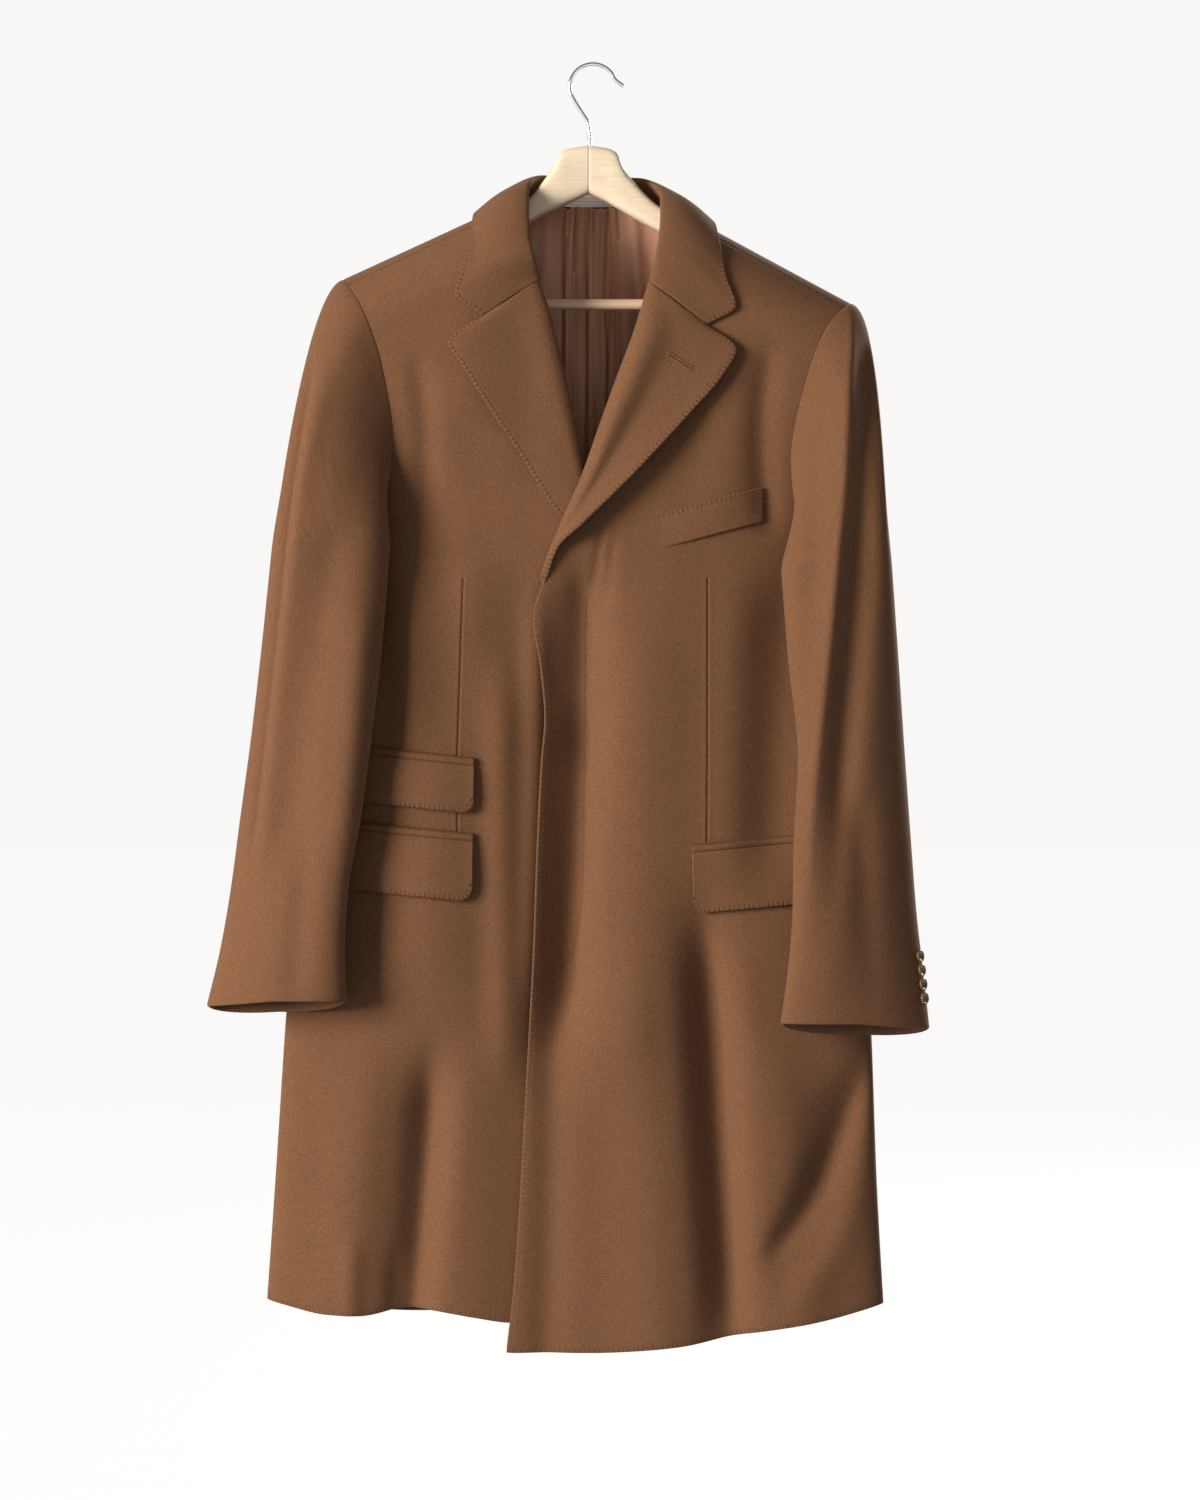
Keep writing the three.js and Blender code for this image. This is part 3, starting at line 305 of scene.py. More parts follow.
# Collar: share of the way round from the right end, then fold, leaf edge and neck seam as x, y, z
COLLAR = [
    (0, -47.2, -66, -197.6, -97, -66, -229.2, -51, -51, -196),
    (0.07, -52.4, -64, -180, -121, -64, -210, -56, -50, -180),
    (0.14, -57, -57, -158, -115, -60, -188, -62, -49, -160),
    (0.22, -58, -42, -132, -108, -42, -154, -67, -32, -142),
    (0.29, -58, -22, -114, -105, -8, -134, -69, -10, -125),
    (0.36, -54, 0, -102, -95, 32, -142, -62, 16, -119),
    (0.43, -40, 24, -97, -58, 52, -146, -42, 32, -121),
    (0.5, 0, 38, -97, 0, 56, -148, 0, 40, -122),
    (0.57, 38, 24, -99, 58, 52, -150, 42, 32, -124),
    (0.64, 54, 0, -107, 97, 32, -148, 63, 16, -124),
    (0.71, 61, -22, -120, 107, -8, -142, 71, -10, -131),
    (0.78, 61, -42, -138, 111, -42, -160, 69, -32, -148),
    (0.86, 59, -57, -162, 117, -60, -194, 63, -49, -164),
    (0.93, 56, -64, -182, 126, -64, -221, 58, -56, -183),
    (1, 51, -66, -200.8, 101, -66, -237.6, 52, -60, -199),
]
FOLD_SHARE = 0.3
# The leaf's swell: height, share of it that is left at the collar's ends, and how near the fold it peaks
LEAF_SWELL = 7
SWELL_AT_ENDS = 0.15
SWELL_PEAK = 0.7
LEAF_OUT = (0.6, 0.8)
# Clearance over the coat, how soon after the fold it is reached, and the coat's height under the crest
LEAF_LIFT = 4.8
LIFT_STEEP = 3
CREST_SKIN = 0.5
COLLAR_END = 0.1
GORGE_WIDTH = 57

# Pockets: inner x and z, outer x and z, drop, radius of the lower inner corner
FLAPS = {
    "ticket_flap": (-106, -631, -226, -618, 40, 10),
    "hip_flap_right": (-107, -698, -240, -685, 51, 12),
    "hip_flap_left": (89, -708, 212, -697, 52, 12),
}
JETS = {"ticket_jet": "ticket_flap", "hip_jet_right": "hip_flap_right", "hip_jet_left": "hip_flap_left"}
JET_HEIGHT = 7
JET_GAP = 1
JET_LIFT = 3.3
JET_ROUND = 1.2
FLAP_LIFT = 4.2
FLAP_RISE = 1.5
FLAP_BELLY = 1.2
FLAP_CROWD = 0.6
# Breast welt: inner x and z, outer x and z, drop. Its inner end is sunk, and how soon it comes up
WELT = (46, -411, 150, -383, 29)
WELT_LIFT = 3.6
WELT_SUNK = 0.35
SUNK_STEEP = 2.5

# Lining and label
LINING = {"half_width": 96, "top": -121.5, "bottom": -520, "inset": 3.4, "clear_of_crest": 4}
# Pleats of the lining: x at the neck, x at the foot, width and rise into the coat
PLEATS = [
    (4, 3, 7.5, 4.5), (-4.5, -5, 1.5, 4.0), (12.5, 11, 1.7, 3.4), (-23, -31, 2.0, 5.0),
    (-15, -21, 2.4, 2.4), (21, 22, 1.8, 2.2), (38, 47, 6.5, 3.6), (-40, -54, 7.0, 1.8),
    (-66, -80, 8.0, 1.8), (66, 82, 8.0, 2.0),
]
PLEAT_SWAY = {"by": 1.6, "turns": 9}
PLEAT_GROWTH = {"foot": 1.5, "neck": 1.1}
# Lines of painted shade beside the pleats, x and z
PLEAT_SHADE_LINES = [
    [(-4, -126), (-5.5, -250), (-5, -420)], [(12.5, -126), (10, -200), (13, -260), (11, -420)],
    [(-24, -150), (-27, -220), (-31, -420)], [(21, -122), (23, -150)], [(-15, -124), (-17, -180)],
]
LABEL = {"half_width": 26, "top": -107.5, "bottom": -122.6, "back": 35.6, "bow": 5}

# Cuff buttons: how many, how far apart and how far over the cuff, their turn round the sleeve in degrees,
# and their profile as radius and height
BUTTON = {"count": 4, "spacing": 12.5, "lowest": 20, "sides": 40}
BUTTON_RING = {"right": 328, "left": 20}
BUTTON_PROFILE = [
    (0, 1.9), (1.6, 1.9), (3.0, 2.0), (3.7, 2.4), (4.2, 2.9), (4.7, 3.0), (5.2, 2.8), (5.55, 2.3),
    (5.6, 1.6), (5.4, 0.8), (4.6, 0.2), (3.2, 0), (0, 0),
]

# Hanger: the hook's wire and ring, then its route as x and z up the stem, round the ring and out to the tip
HOOK = {"wire": 3.5, "ring": 20.8, "samples": 160, "sides": 24}
HOOK_STEM = [(-3.2, -86), (-3.2, -72), (-3.2, -60), (-4.6, -51), (-10.2, -42)]
HOOK_RING = {"from": 216, "to": 36, "steps": 10}
HOOK_TIP = [(19.5, -12), (26.5, -17.5)]
BAR = {"radius": 4.85, "z": -215.7, "reach": 196, "samples": 24, "sides": 48}
# Round the end of a tube: first and last angle and the number of rings, and the share left open at its pole
TUBE_END = (90, 15, 6)
POLE = 0.02
# Arms: x, top, bottom and half the thickness
HANGER_ARM = {
    "right": [
        (-3.75, -72, -115, 9), (-18, -74, -122, 9.5), (-29, -78, -127, 10), (-35, -90, -130, 10),
        (-44, -103, -134, 10), (-56, -118, -141, 10), (-78, -131, -152, 11), (-110, -146, -168, 13),
        (-150, -165, -190, 15), (-180, -180, -221, 16), (-200, -190, -225, 15), (-210, -199, -219, 9),
    ],
    "left": [
        (-3.45, -72, -115, 9), (11, -74, -122, 9.5), (21, -78, -128, 10), (28, -93, -132, 10),
        (38, -106, -138, 10), (56, -124, -148, 10), (78, -137, -160, 11), (110, -155, -178, 13),
        (150, -177, -203, 15), (180, -193, -224, 16), (200, -204, -232, 15), (210, -212, -228, 9),
    ],
}
# How square a section is (1 is an ellipse), the chamfer where the arms meet and the x at which they do
ARM_SQUARE = 0.55
ARM_CHAMFER = 0.08
ARM_JOINT = -3.6
ARM_GRID = {"sections": 90, "from": 2, "sides": 40}

# Marks sewn into the fronts and the left lapel: lines through places (x, z)
DARTS = {
    "right": [(-115, -464), (-120, -617), (-120, -690)],
    "left": [(102, -464), (102, -625), (101.5, -697)],
}
FLY_LINE = [(-5, -482), (-8.8, -746), (-18.6, -803), (-50.6, -823)]
BUTTONHOLE = [(68, -266), (86, -278)]
SHOULDER_SEAM = {"below": 7.0, "share": 0.89, "deep": 0.7, "width": 0.8}

# Pick stitches: pitch, how far in from the edge they lie and end, their depth and sharpness, the painted
# shade in each prick, and the groove along them
PICK = {
    "pitch": 4.4, "in": 2.4, "end": 3.2, "deep": 0.7, "sharp": 0.82, "dark": 0.4,
    "groove_at": 3.0, "groove_width": 0.9, "groove": 0.12,
}
PICK_SHARE = {"left": 0.5, "right": 0.4}
# A seam's groove, the low shoulders beside it, and the painted shade in its groove
SEAM = {"deep": 0.8, "width": 0.9, "shoulder_at": 2.6, "shoulder_width": 1.6, "raised": 0.2, "dark": 0.4}
# The fly's stitched groove: width, depth, and the painted shade in it
FLY = {"width": 1.3, "deep": 0.45, "dark": 0.16}
# Where a jet turns in to its seams: width, and a depth that is also its painted shade
JET_TURN = {"width": 1.4, "deep": 0.5}
# Lips, slit and surround of the buttonhole: distance from its line, width, rise, and tone, which is a painted
# highlight on the lips and painted shade in the slit and round the lips
BUTTONHOLE_RINGS = [(1.4, 0.8, 0.9, 0.22), (0, 0.45, -0.6, -0.6), (2.6, 0.5, 0, -0.25)]

# Colours and patterns. A pattern's rows: scale, detail, roughness, share of the tone, height
WOOL_DARK = (0.085, 0.034, 0.0135)
WOOL_LIGHT = (0.225, 0.098, 0.042)
WOOL_SHEEN = (1.0, 0.72, 0.5, 1)
WOOL_TONE = 0.56
WOOL_GRAIN = [
    ((820, 420, 1), 3, 0.65, 1.5, 0.3),
    ((420, 110, 1), 2, 0.5, 0.4, 0.1),
    ((40, 22, 1), 2, 0.55, 0.12, 0),
]
LINING_DARK = (0.36, 0.165, 0.095)
LINING_LIGHT = (0.82, 0.42, 0.25)
LINING_TONE = 0.5
LINING_GRAIN = [((60, 9, 1), 2, 0.5, 0.9, 1.2), ((1500, 300, 1), 1, 0.5, 0.3, 0.05)]
# Painted shade along a pleat's line, and a painted highlight beside it: distance, width, shade
PLEAT_SHADES = [(0, 1.3, -0.42), (3.2, 1.5, 0.2)]
LABEL_BASE = (0.68, 0.67, 0.65)
LABEL_DARK = (0.66, 0.65, 0.63)
LABEL_LIGHT = (0.88, 0.87, 0.85)
RIB = {"pitch": 3.1, "height": 0.12}
# Woods: dark, light, and the scale of the grain
WOODS = {
    "wood": ((0.66, 0.47, 0.285), (0.86, 0.715, 0.51), (22, 420, 520)),
    "bar_wood": ((0.62, 0.37, 0.2), (0.86, 0.6, 0.38), (18, 500, 500)),
}
WOOD_TONE = 0.62
WOOD_ROUGH = 0.42
PORES = {"finer": 4, "tone": 0.35, "rough": 0.12, "height": 0.06}
HORN_BASE = (0.2, 0.1, 0.035)
HORN_DARK = (0.07, 0.03, 0.01)
HORN_LIGHT = (0.34, 0.18, 0.065)
HORN_CLOUD = (220, 220, 420)
# The four holes of a button: off its middle, radius inside and outside, depth, and the near-black colour
# painted in them as shade
HOLE = {"off": 1.15, "inside": 0.5, "outside": 0.75, "deep": 0.6}
HOLE_PAINTED_SHADE = (0.012, 0.007, 0.004, 1)
CHROME = (0.72, 0.73, 0.75)

# Camera: it stands as far off as the photograph was measured for, and looks at this x and z
CAMERA_AIM = (6.3, -615.6)
CAMERA_DISTANCE = 4000
FRAME_HEIGHT = 1350
SENSOR = 36

# Studio, in metres: the floor gives out what the backdrop does, less the light that it sends back
FLOOR_Z = -1.34
FLOOR_SIZE = 60
FLOOR_ALBEDO = 0.02
FLOOR_LIT = 0.012
PALE = (1.0, 0.993, 0.982)
AMBIENT = 0.2
BACKDROP = 0.94
# Lights: place, size and power
LIGHTS = {
    "key": ((-5.1, -3.6, 0.5), 2.8, 650),
    "low": ((-2.0, -2.0, -2.1), 1.4, 34),
    "fill": ((0.6, -3.8, 0.2), 2.6, 10),
    "back": ((2.6, 3.2, 0.8), 1.4, 190),
}


def mix(a, b, t):
    """Straight from a to b by a share."""
    return a + (b - a) * t


def smooth(value):
    """Nothing up to zero, one from one on, and an S between them."""
    t = np.clip(value, 0, 1)
    return t * t * (3 - 2 * t)


def curve(table, column=1):
    """A monotone cubic through the rows of a table, against its first column.

    The slope at an inner row is the harmonic mean of the runs before and after it, or nothing where they
    differ in sign, so the curve never overshoots a row.
    """
    rows = np.array(sorted(table), float)
    place, value = rows[:, 0], rows[:, column]
    run = np.diff(value) / np.diff(place)
    both = run[:-1] * run[1:]
    inner = np.where(both > 0, 2 * both / np.where(both > 0, run[:-1] + run[1:], 1), 0)
    slope = np.concatenate([run[:1], inner, run[-1:]])

    def at(where):
        p = np.clip(where, place[0], place[-1])
        i = np.clip(np.searchsorted(place, p, side="right") - 1, 0, len(place) - 2)
        width = place[i + 1] - place[i]
        t = (p - place[i]) / width
        rise = t * t * (3 - 2 * t)
        bend = t * (1 - t) ** 2 * slope[i] - t * t * (1 - t) * slope[i + 1]
        return value[i] + (value[i + 1] - value[i]) * rise + width * bend

    return at


def along_run(places):
    """Curves for both coordinates of a line of places, against the share of its length."""
    points = np.array(places, float)
    steps = np.hypot(*np.diff(points, axis=0).T)
    share = np.concatenate([[0], np.cumsum(steps)]) / steps.sum()
    table = np.column_stack([share, points]).tolist()
    return curve(table, 1), curve(table, 2)


def grid(name):
    """Shares across and up, one value for each point of a piece's grid."""
    columns, rows = GRID[name]
    return np.meshgrid(np.linspace(0, 1, columns + 1), np.linspace(0, 1, rows + 1))


def stack(x, y, z):
    """Points from their three coordinates."""
    return np.stack(np.broadcast_arrays(x, y, z), axis=-1).astype(float)


girth = {name: curve(GIRTH, column) for name, column in GIRTH_COLUMN.items()}


def sign_of(side):
    """The sign of x on a side."""
    return -1 if side == "right" else 1


def reach_at(x, z):
    """How far the body reaches to the side on which x lies."""
    return np.where(x < 0, girth["right"](z), girth["left"](z))


def crest_z(x):
    """The shoulder's crest: two straight slopes down from its peak."""
    return CREST_PEAK - np.where(x < 0, CREST_SLOPE["right"], CREST_SLOPE["left"]) * np.abs(x)


def middle_y(x):
    """The shoulders swept forward: a parabola across the coat."""
    return -ARM_SWEEP * (x / SWEEP_REACH) ** 2


def fold_rise(face, x, z):
    """Each fold is a bell across a line that bends through its three places, faded in and out at its ends."""
    total = np.zeros(np.broadcast(x, z).shape)
    for top, bottom, x_top, x_mid, x_bottom, width, rise in FOLDS[face]:
        along = (top - z) / (top - bottom)
        fade = smooth(along / FOLD_FADE) * smooth((1 - along) / FOLD_FADE)
        a = np.clip(along, 0, 1)
        centre = mix(x_top, x_bottom, a) + (4 * x_mid - 2 * x_top - 2 * x_bottom) * a * (1 - a)
        total += rise * fade * np.exp(-(((x - centre) / width) ** 2))
    return total


def cloth_y(face, x, z):
    """A half ellipse across the coat, rounded over at the shoulder in a quarter circle, with its folds."""
    across = np.sqrt(np.clip(1 - (x / reach_at(x, z)) ** 2, 0, None))
    down = np.clip((crest_z(x) - z) / CREST_ROUND, 0, 1)
    over = np.sqrt(1 - (1 - down) ** 2)
    sign = -1 if face == "front" else 1
    folds = fold_rise(face, x, z) * smooth(across * FOLD_SIDE) * smooth(down * FOLD_CREST)
    return middle_y(x) + sign * (girth[face](z) * across * over + folds)


def overlap_shift(x, z):
    """The left front lies a little out, coming on smoothly towards its edge."""
    return -OVERLAP["set"] * smooth((OVERLAP["from"] - x) / (OVERLAP["from"] - OVERLAP["to"]))


def underlap_shift(x, z):
    """The right front lies in, coming on smoothly towards its edge and below the crest."""
    below = smooth((crest_z(x) - z - UNDERLAP["below_crest"]) / CREST_ROUND)
    return UNDERLAP["set"] * below * smooth((x - UNDERLAP["from"]) / (UNDERLAP["to"] - UNDERLAP["from"]))


FRONT_SHIFT = {"right": underlap_shift, "left": overlap_shift}


def panel(face, side, inner, hem, shift):
    """Rows run from the inner edge to the side seam and armhole, the lowest ones bent to the hem's line.

    Columns crowd towards the side and rows towards the top, both by a sine.
    """
    u, w = grid(face)
    v = np.sin(w * math.pi / 2)
    sign = sign_of(side)
    arm = ARMHOLE[side, face]
    inner_x, inner_z = along_run(inner)
    hem_z = curve(hem)
    hem_side = hem[0 if side == "right" else -1][1]
    seam_z = mix(hem_side, arm[-1][2], v / SEAM_SHARE)
    t = np.clip(1 - (v - SEAM_SHARE) / (1 - SEAM_SHARE), 0, 1)
    below = v < SEAM_SHARE
    outer_x = np.where(below, sign * girth[side](seam_z) * REACH_SHARE, curve(arm, 1)(t))
    outer_z = np.where(below, seam_z, curve(arm, 2)(t))
    share = np.sin(u * math.pi / 2)
    x = mix(inner_x(v), outer_x, share)
    z = mix(inner_z(v), outer_z, share)
    low = np.clip(1 - v / HEM_SHARE, 0, 1) ** 2
    z = z + low * (hem_z(x) - mix(inner_z(0), hem_side, share))
    x = sign * np.minimum(sign * x, girth[side](z) * REACH_SHARE)
    return stack(x, cloth_y(face, x, z) + shift(x, z), z)


def front_panel(side):
    """From the front's edge, with its underlap or overlap, half a seam's gap off the back."""
    shift = FRONT_SHIFT[side]
    return panel(
        "front", side, FRONT_EDGE[side], HEM[side, "front"], lambda x, z: shift(x, z) - SEAM_GAP / 2
    )


def back_panel(side):
    """From the centre seam and the neck, half a seam's gap off the other back and off the front."""
    sign = sign_of(side)
    neck = sign * NECK_WIDTH
    seam = [(sign * SEAM_GAP / 2, z) for z in BACK_SEAM]
    inner = [*seam, *((sign * x, z) for x, z in BACK_NECK), (neck, float(crest_z(neck)))]
    return panel("back", side, inner, HEM["back"], lambda x, z: SEAM_GAP / 2)


def sleeve_ring(side, z, ring):
    """A point of the free sleeve: an ellipse round its middle, deeper behind the outer edge."""
    column = [curve(SLEEVE[side], c) for c in range(1, 7)]
    inner, outer, middle, front, rear, sweep = (c(z) for c in column)
    outward, forward = np.cos(np.radians(ring)), np.sin(np.radians(ring))
    depth = np.where(forward > 0, front * forward, rear * forward * (1 + REAR_BIAS * outward))
    x = (inner + outer) / 2 + (outer - inner) / 2 * outward
    return stack(x, middle - depth + sweep / 2 * outward, z)


def armhole_point(side, turn):
    """A point of the armhole: down its front line for the first half turn, and up its back line."""
    t = np.where(turn <= 180, turn, 360 - turn) / 180
    found = []
    for face in ("front", "back"):
        x, z = (curve(ARMHOLE[side, face], c)(t) for c in (1, 2))
        x = np.sign(x) * np.minimum(np.abs(x), girth[side](z) * REACH_SHARE)
        found.append(stack(x, cloth_y(face, x, z), z))
    return np.where((turn <= 180)[..., None], *found)


def unit(vectors):
    """Vectors divided by their own lengths."""
    return vectors / np.maximum(np.linalg.norm(vectors, axis=-1, keepdims=True), TINY)


def normals(points):
    """The cross product of the runs along the columns and along the rows."""
    return unit(np.cross(np.gradient(points, axis=1), np.gradient(points, axis=0)))


def sleeve(side, part, turn_from, turn_to):
    """Above, a cubic cap from the armhole into the first ring; below, rings down to a slanted cuff."""
    u, v = grid(part)
    sign = sign_of(side)
    first, last = SLEEVE[side][0][0], SLEEVE[side][-1][0]
    turn = np.mod(mix(turn_from, turn_to, u), 360)
    ring = curve(SLEEVE_TURN)(turn)
    angle = np.radians(ring)
    share = np.clip((v - CAP_SHARE) / (1 - CAP_SHARE), 0, 1)
    free = sleeve_ring(side, mix(first, last, share), ring)
    slant = CUFF_SLANT["rear"] * np.clip(-np.sin(angle), 0, None)
    slant += CUFF_SLANT["outer"] * np.clip(np.cos(angle), 0, None)
    free[..., 2] -= slant * share**2
    out, forward, down = (curve(CAP_START, c)(turn) for c in (1, 2, 3))
    leave = stack(sign * out, -forward, -down)
    start = armhole_point(side, turn) + unit(leave) * SLEEVE_START_GAP
    end = sleeve_ring(side, np.full_like(turn, first), ring)
    below = sleeve_ring(side, np.full_like(turn, first - CAP_STEP), ring)
    height = np.abs(start[..., 2:] - end[..., 2:])
    arrive = (below - end) * (height * CAP_PULL["by_height"] + CAP_PULL["least"])
    t = np.clip(v / CAP_SHARE, 0, 1)[..., None]
    t2, t3 = t * t, t**3
    cap = start * (2 * t3 - 3 * t2 + 1) + leave * (t3 - 2 * t2 + t) + end * (3 * t2 - 2 * t3)
    points = np.where((v >= CAP_SHARE)[..., None], free, cap + arrive * (t3 - t2))
    return points + sleeve_creases(side, points)


def sleeve_creases(side, points):
    """Bells across lines drawn up the sleeve, only where it faces the front."""
    facing = normals(points)
    outward = points - points.mean(axis=1, keepdims=True)
    facing *= np.where((facing * outward).sum(axis=-1, keepdims=True) < 0, -1, 1)
    x, z = points[..., 0], points[..., 2]
    total = np.zeros_like(x)
    for line, width, rise, roundness in SLEEVE_CREASES[side]:
        low, high = line[0][0] - CREASE_PAST, line[-1][0] + CREASE_PAST
        fade = smooth((z - low) / CREASE_FOOT[side]) * smooth((high - z) / CREASE_HEAD)
        off = np.hypot(x - curve(line)(z), CREASE_TIP) / width
        total += rise * fade * np.exp(-(off**roundness))
    front = smooth(-facing[..., 1] * CREASE_FACING)
    return facing * (total * front)[..., None]


def rolled(share, width):
    """A quarter ellipse over the breadth of the roll, against the share of the lapel's width."""
    run = np.clip(share * width / (LAPEL_ROLL * ROLL_BREADTH), 0, 1)
    return np.sqrt(1 - (1 - run) ** 2)


def lapel(side):
    """Rolled over from the front's edge in a quarter ellipse, then lying on the front with a slight bow."""
    u, v = grid("lapel")
    u = u**LAPEL_CROWD
    roll_x, roll_z, edge_x, edge_z = (curve(LAPEL[side], c)(v) for c in (1, 2, 3, 4))
    width = np.hypot(edge_x - roll_x, edge_z - roll_z)
    x, z = mix(roll_x, edge_x, u), mix(roll_z, edge_z, u)
    bow = LAPEL_BOW * np.sin(math.pi * u) * smooth(width / BOW_WIDTH)
    stand = curve(LAPEL_STAND[side])(v) * u**STAND_POWER
    root = smooth(v / LAPEL_FOOT)
    roll = rolled(u, width)
    crest = LAPEL_CREST[side] * np.exp(-(((u - CREST_PLACE) / CREST_WIDTH) ** 2)) * roll
    crest *= smooth((1 - v) / CREST_FALL) * smooth((v - CREST_FROM) / CREST_RISE)
    lift = mix(LAPEL_FOOT_LIFT, LAPEL_LIFT, root) + LAPEL_ROLL * roll * smooth(ROLL_END - u) * root
    return stack(x, cloth_y("front", x, z) + FRONT_SHIFT[side](x, z) - lift - bow - stand - crest, z)


def off_the_cloth(points, lift):
    """Moves points that would lie in the coat out to its surface, over the crest in a half ellipse."""
    x, y, z = points[..., 0], points[..., 1], points[..., 2]
    off = y - middle_y(x)
    level = crest_z(x) - CREST_SKIN
    reach = np.abs(cloth_y("front", x, level) - middle_y(x)) + lift
    over = 1 - (off / reach) ** 2
    arch = level + (lift + CREST_SKIN) * np.sqrt(np.clip(over, 0, 1))
    z = np.where(over > 0, np.maximum(z, arch), z)
    level = np.minimum(z, level)
    ahead = np.minimum(y, cloth_y("front", x, level) - lift)
    behind = np.maximum(y, cloth_y("back", x, level) + lift)
    clear = (z > crest_z(x) + lift) | (over > 0)
    return stack(x, np.where(clear, y, np.where(off < 0, ahead, behind)), z)


def gorge_y(points, share):
    """The y at which the lapels' upper ends lie, for the collar's ends that are sewn to them."""
    x, z = points[..., 0], points[..., 2]
    shift = np.where(x < 0, underlap_shift(x, z), overlap_shift(x, z))
    roll = LAPEL_ROLL * rolled(share, GORGE_WIDTH) * smooth(ROLL_END - share)
    bow = LAPEL_BOW * np.sin(math.pi * share)
    return cloth_y("front", x, z) + shift - LAPEL_LIFT - roll - bow


def collar():
    """Straight up from the neck seam to the fold, and down outside to the leaf's edge in a swelling sine."""
    u, v = grid("collar")
    fold, edge, seam = (stack(*(curve(COLLAR, c + k)(u) for k in range(3))) for c in (1, 4, 7))
    ends = smooth(u / COLLAR_END) * smooth((1 - u) / COLLAR_END)
    up = np.clip(v / FOLD_SHARE, 0, 1)
    inside = mix(seam, fold, up[..., None])
    inside[..., 1] += (gorge_y(fold, np.zeros_like(u)) - fold[..., 1]) * (1 - ends) * up
    share = np.clip((v - FOLD_SHARE) / (1 - FOLD_SHARE), 0, 1)
    outside = mix(fold, edge, share[..., None])
    out = unit(stack(outside[..., 0], outside[..., 1], 0)) * LEAF_OUT[0]
    out[..., 2] = LEAF_OUT[1]
    swell = LEAF_SWELL * mix(SWELL_AT_ENDS, 1, ends) * np.sin(math.pi * share**SWELL_PEAK)
    outside = off_the_cloth(outside + out * swell[..., None], LEAF_LIFT * smooth(share * LIFT_STEEP))
    outside[..., 1] = mix(gorge_y(outside, share), outside[..., 1], ends)
    return np.where((v < FOLD_SHARE)[..., None], inside, outside)


def flap(name):
    """Hangs from its jet with a slight belly, a sine, its lower inner corner a quarter circle."""
    inner_x, inner_z, outer_x, outer_z, drop, radius = FLAPS[name]
    u, v = grid("flap")
    u = mix(u, u * u, FLAP_CROWD)
    x = mix(inner_x, outer_x, u)
    from_end = np.abs(x - inner_x)
    cut = radius - np.sqrt(np.clip(radius**2 - np.clip(radius - from_end, 0, None) ** 2, 0, None))
    z = mix(inner_z, outer_z, u) - (drop - cut) * v
    lift = FLAP_LIFT + FLAP_RISE * v + FLAP_BELLY * np.sin(math.pi * v)
    return stack(x, cloth_y("front", x, z) - lift, z)


def strip(part, inner_x, inner_z, outer_x, outer_z, drop, lift, sunk=1.0):
    """A four-sided strip on the front; sunk is the share of its lift that is left at the inner end."""
    u, v = grid(part)
    lift = lift * mix(sunk, 1, smooth(u * SUNK_STEEP))
    x = mix(inner_x, outer_x, u)
    z = mix(inner_z, outer_z, u) - drop * v
    return stack(x, cloth_y("front", x, z) - lift, z)


def jet(name):
    """The narrow strip over a flap, rounded like a pipe by a sine."""
    inner_x, inner_z, outer_x, outer_z = FLAPS[JETS[name]][:4]
    above = JET_HEIGHT + JET_GAP
    points = strip("jet", inner_x, inner_z + above, outer_x, outer_z + above, JET_HEIGHT, JET_LIFT)
    points[..., 1] -= JET_ROUND * np.sin(math.pi * grid("jet")[1])
    return points


def inside_back(x, z, inset):
    """A place moved in from the back along the back's own normal."""
    step = 0.5
    slope_x = (cloth_y("back", x + step, z) - cloth_y("back", x - step, z)) / (2 * step)
    slope_z = (cloth_y("back", x, z + step) - cloth_y("back", x, z - step)) / (2 * step)
    inward = unit(stack(slope_x, np.full_like(x, -1.0), slope_z))
    return stack(x, cloth_y("back", x, z), z) + inward * np.asarray(inset)[..., None]


def lining():
    """Pleats run down from the neck, each a bell along a swaying line, on the inside of the back."""
    u, v = grid("lining")
    x = mix(-LINING["half_width"], LINING["half_width"], u)
    top = np.minimum(LINING["top"], crest_z(x) - LINING["clear_of_crest"])
    z = mix(LINING["bottom"], top, v)
    rise = np.zeros_like(x)
    for at_neck, at_foot, width, height in PLEATS:
        sway = PLEAT_SWAY["by"] * np.sin(v * PLEAT_SWAY["turns"] + at_neck)
        off = (x - mix(at_foot, at_neck, v) - sway) / width
        rise += height * mix(PLEAT_GROWTH["foot"], PLEAT_GROWTH["neck"], v) * np.exp(-(off**2))
    return inside_back(x, z, LINING["inset"] + rise)


def label():
    """A strip on the inside of the collar's stand, bowed in a parabola."""
    u, v = grid("label")
    x = mix(-LABEL["half_width"], LABEL["half_width"], u)
    y = LABEL["back"] - LABEL["bow"] * (x / LABEL["half_width"]) ** 2
    return stack(x, y, mix(LABEL["bottom"], LABEL["top"], v))


def edge_map(points, line):
    """How far along a line the nearest place lies, and how far off it is, for every point."""
    a, step = line[:-1], np.diff(line, axis=0)
    length = np.linalg.norm(step, axis=1)
    start = np.cumsum(length) - length
    flat = points.reshape(-1, 3)
    found = []
    for part in np.array_split(flat, max(1, len(flat) // AT_ONCE)):
        off = part[:, None] - a
        t = np.clip((off * step).sum(-1) / np.maximum(length, TINY) ** 2, 0, 1)
        away = np.linalg.norm(off - t[..., None] * step, axis=-1)
        k = away.argmin(axis=1)
        each = np.arange(len(part))
        found.append(np.column_stack([(start + t * length)[each, k], away[each, k]]))
    return np.concatenate(found).reshape(*points.shape[:2], 2)


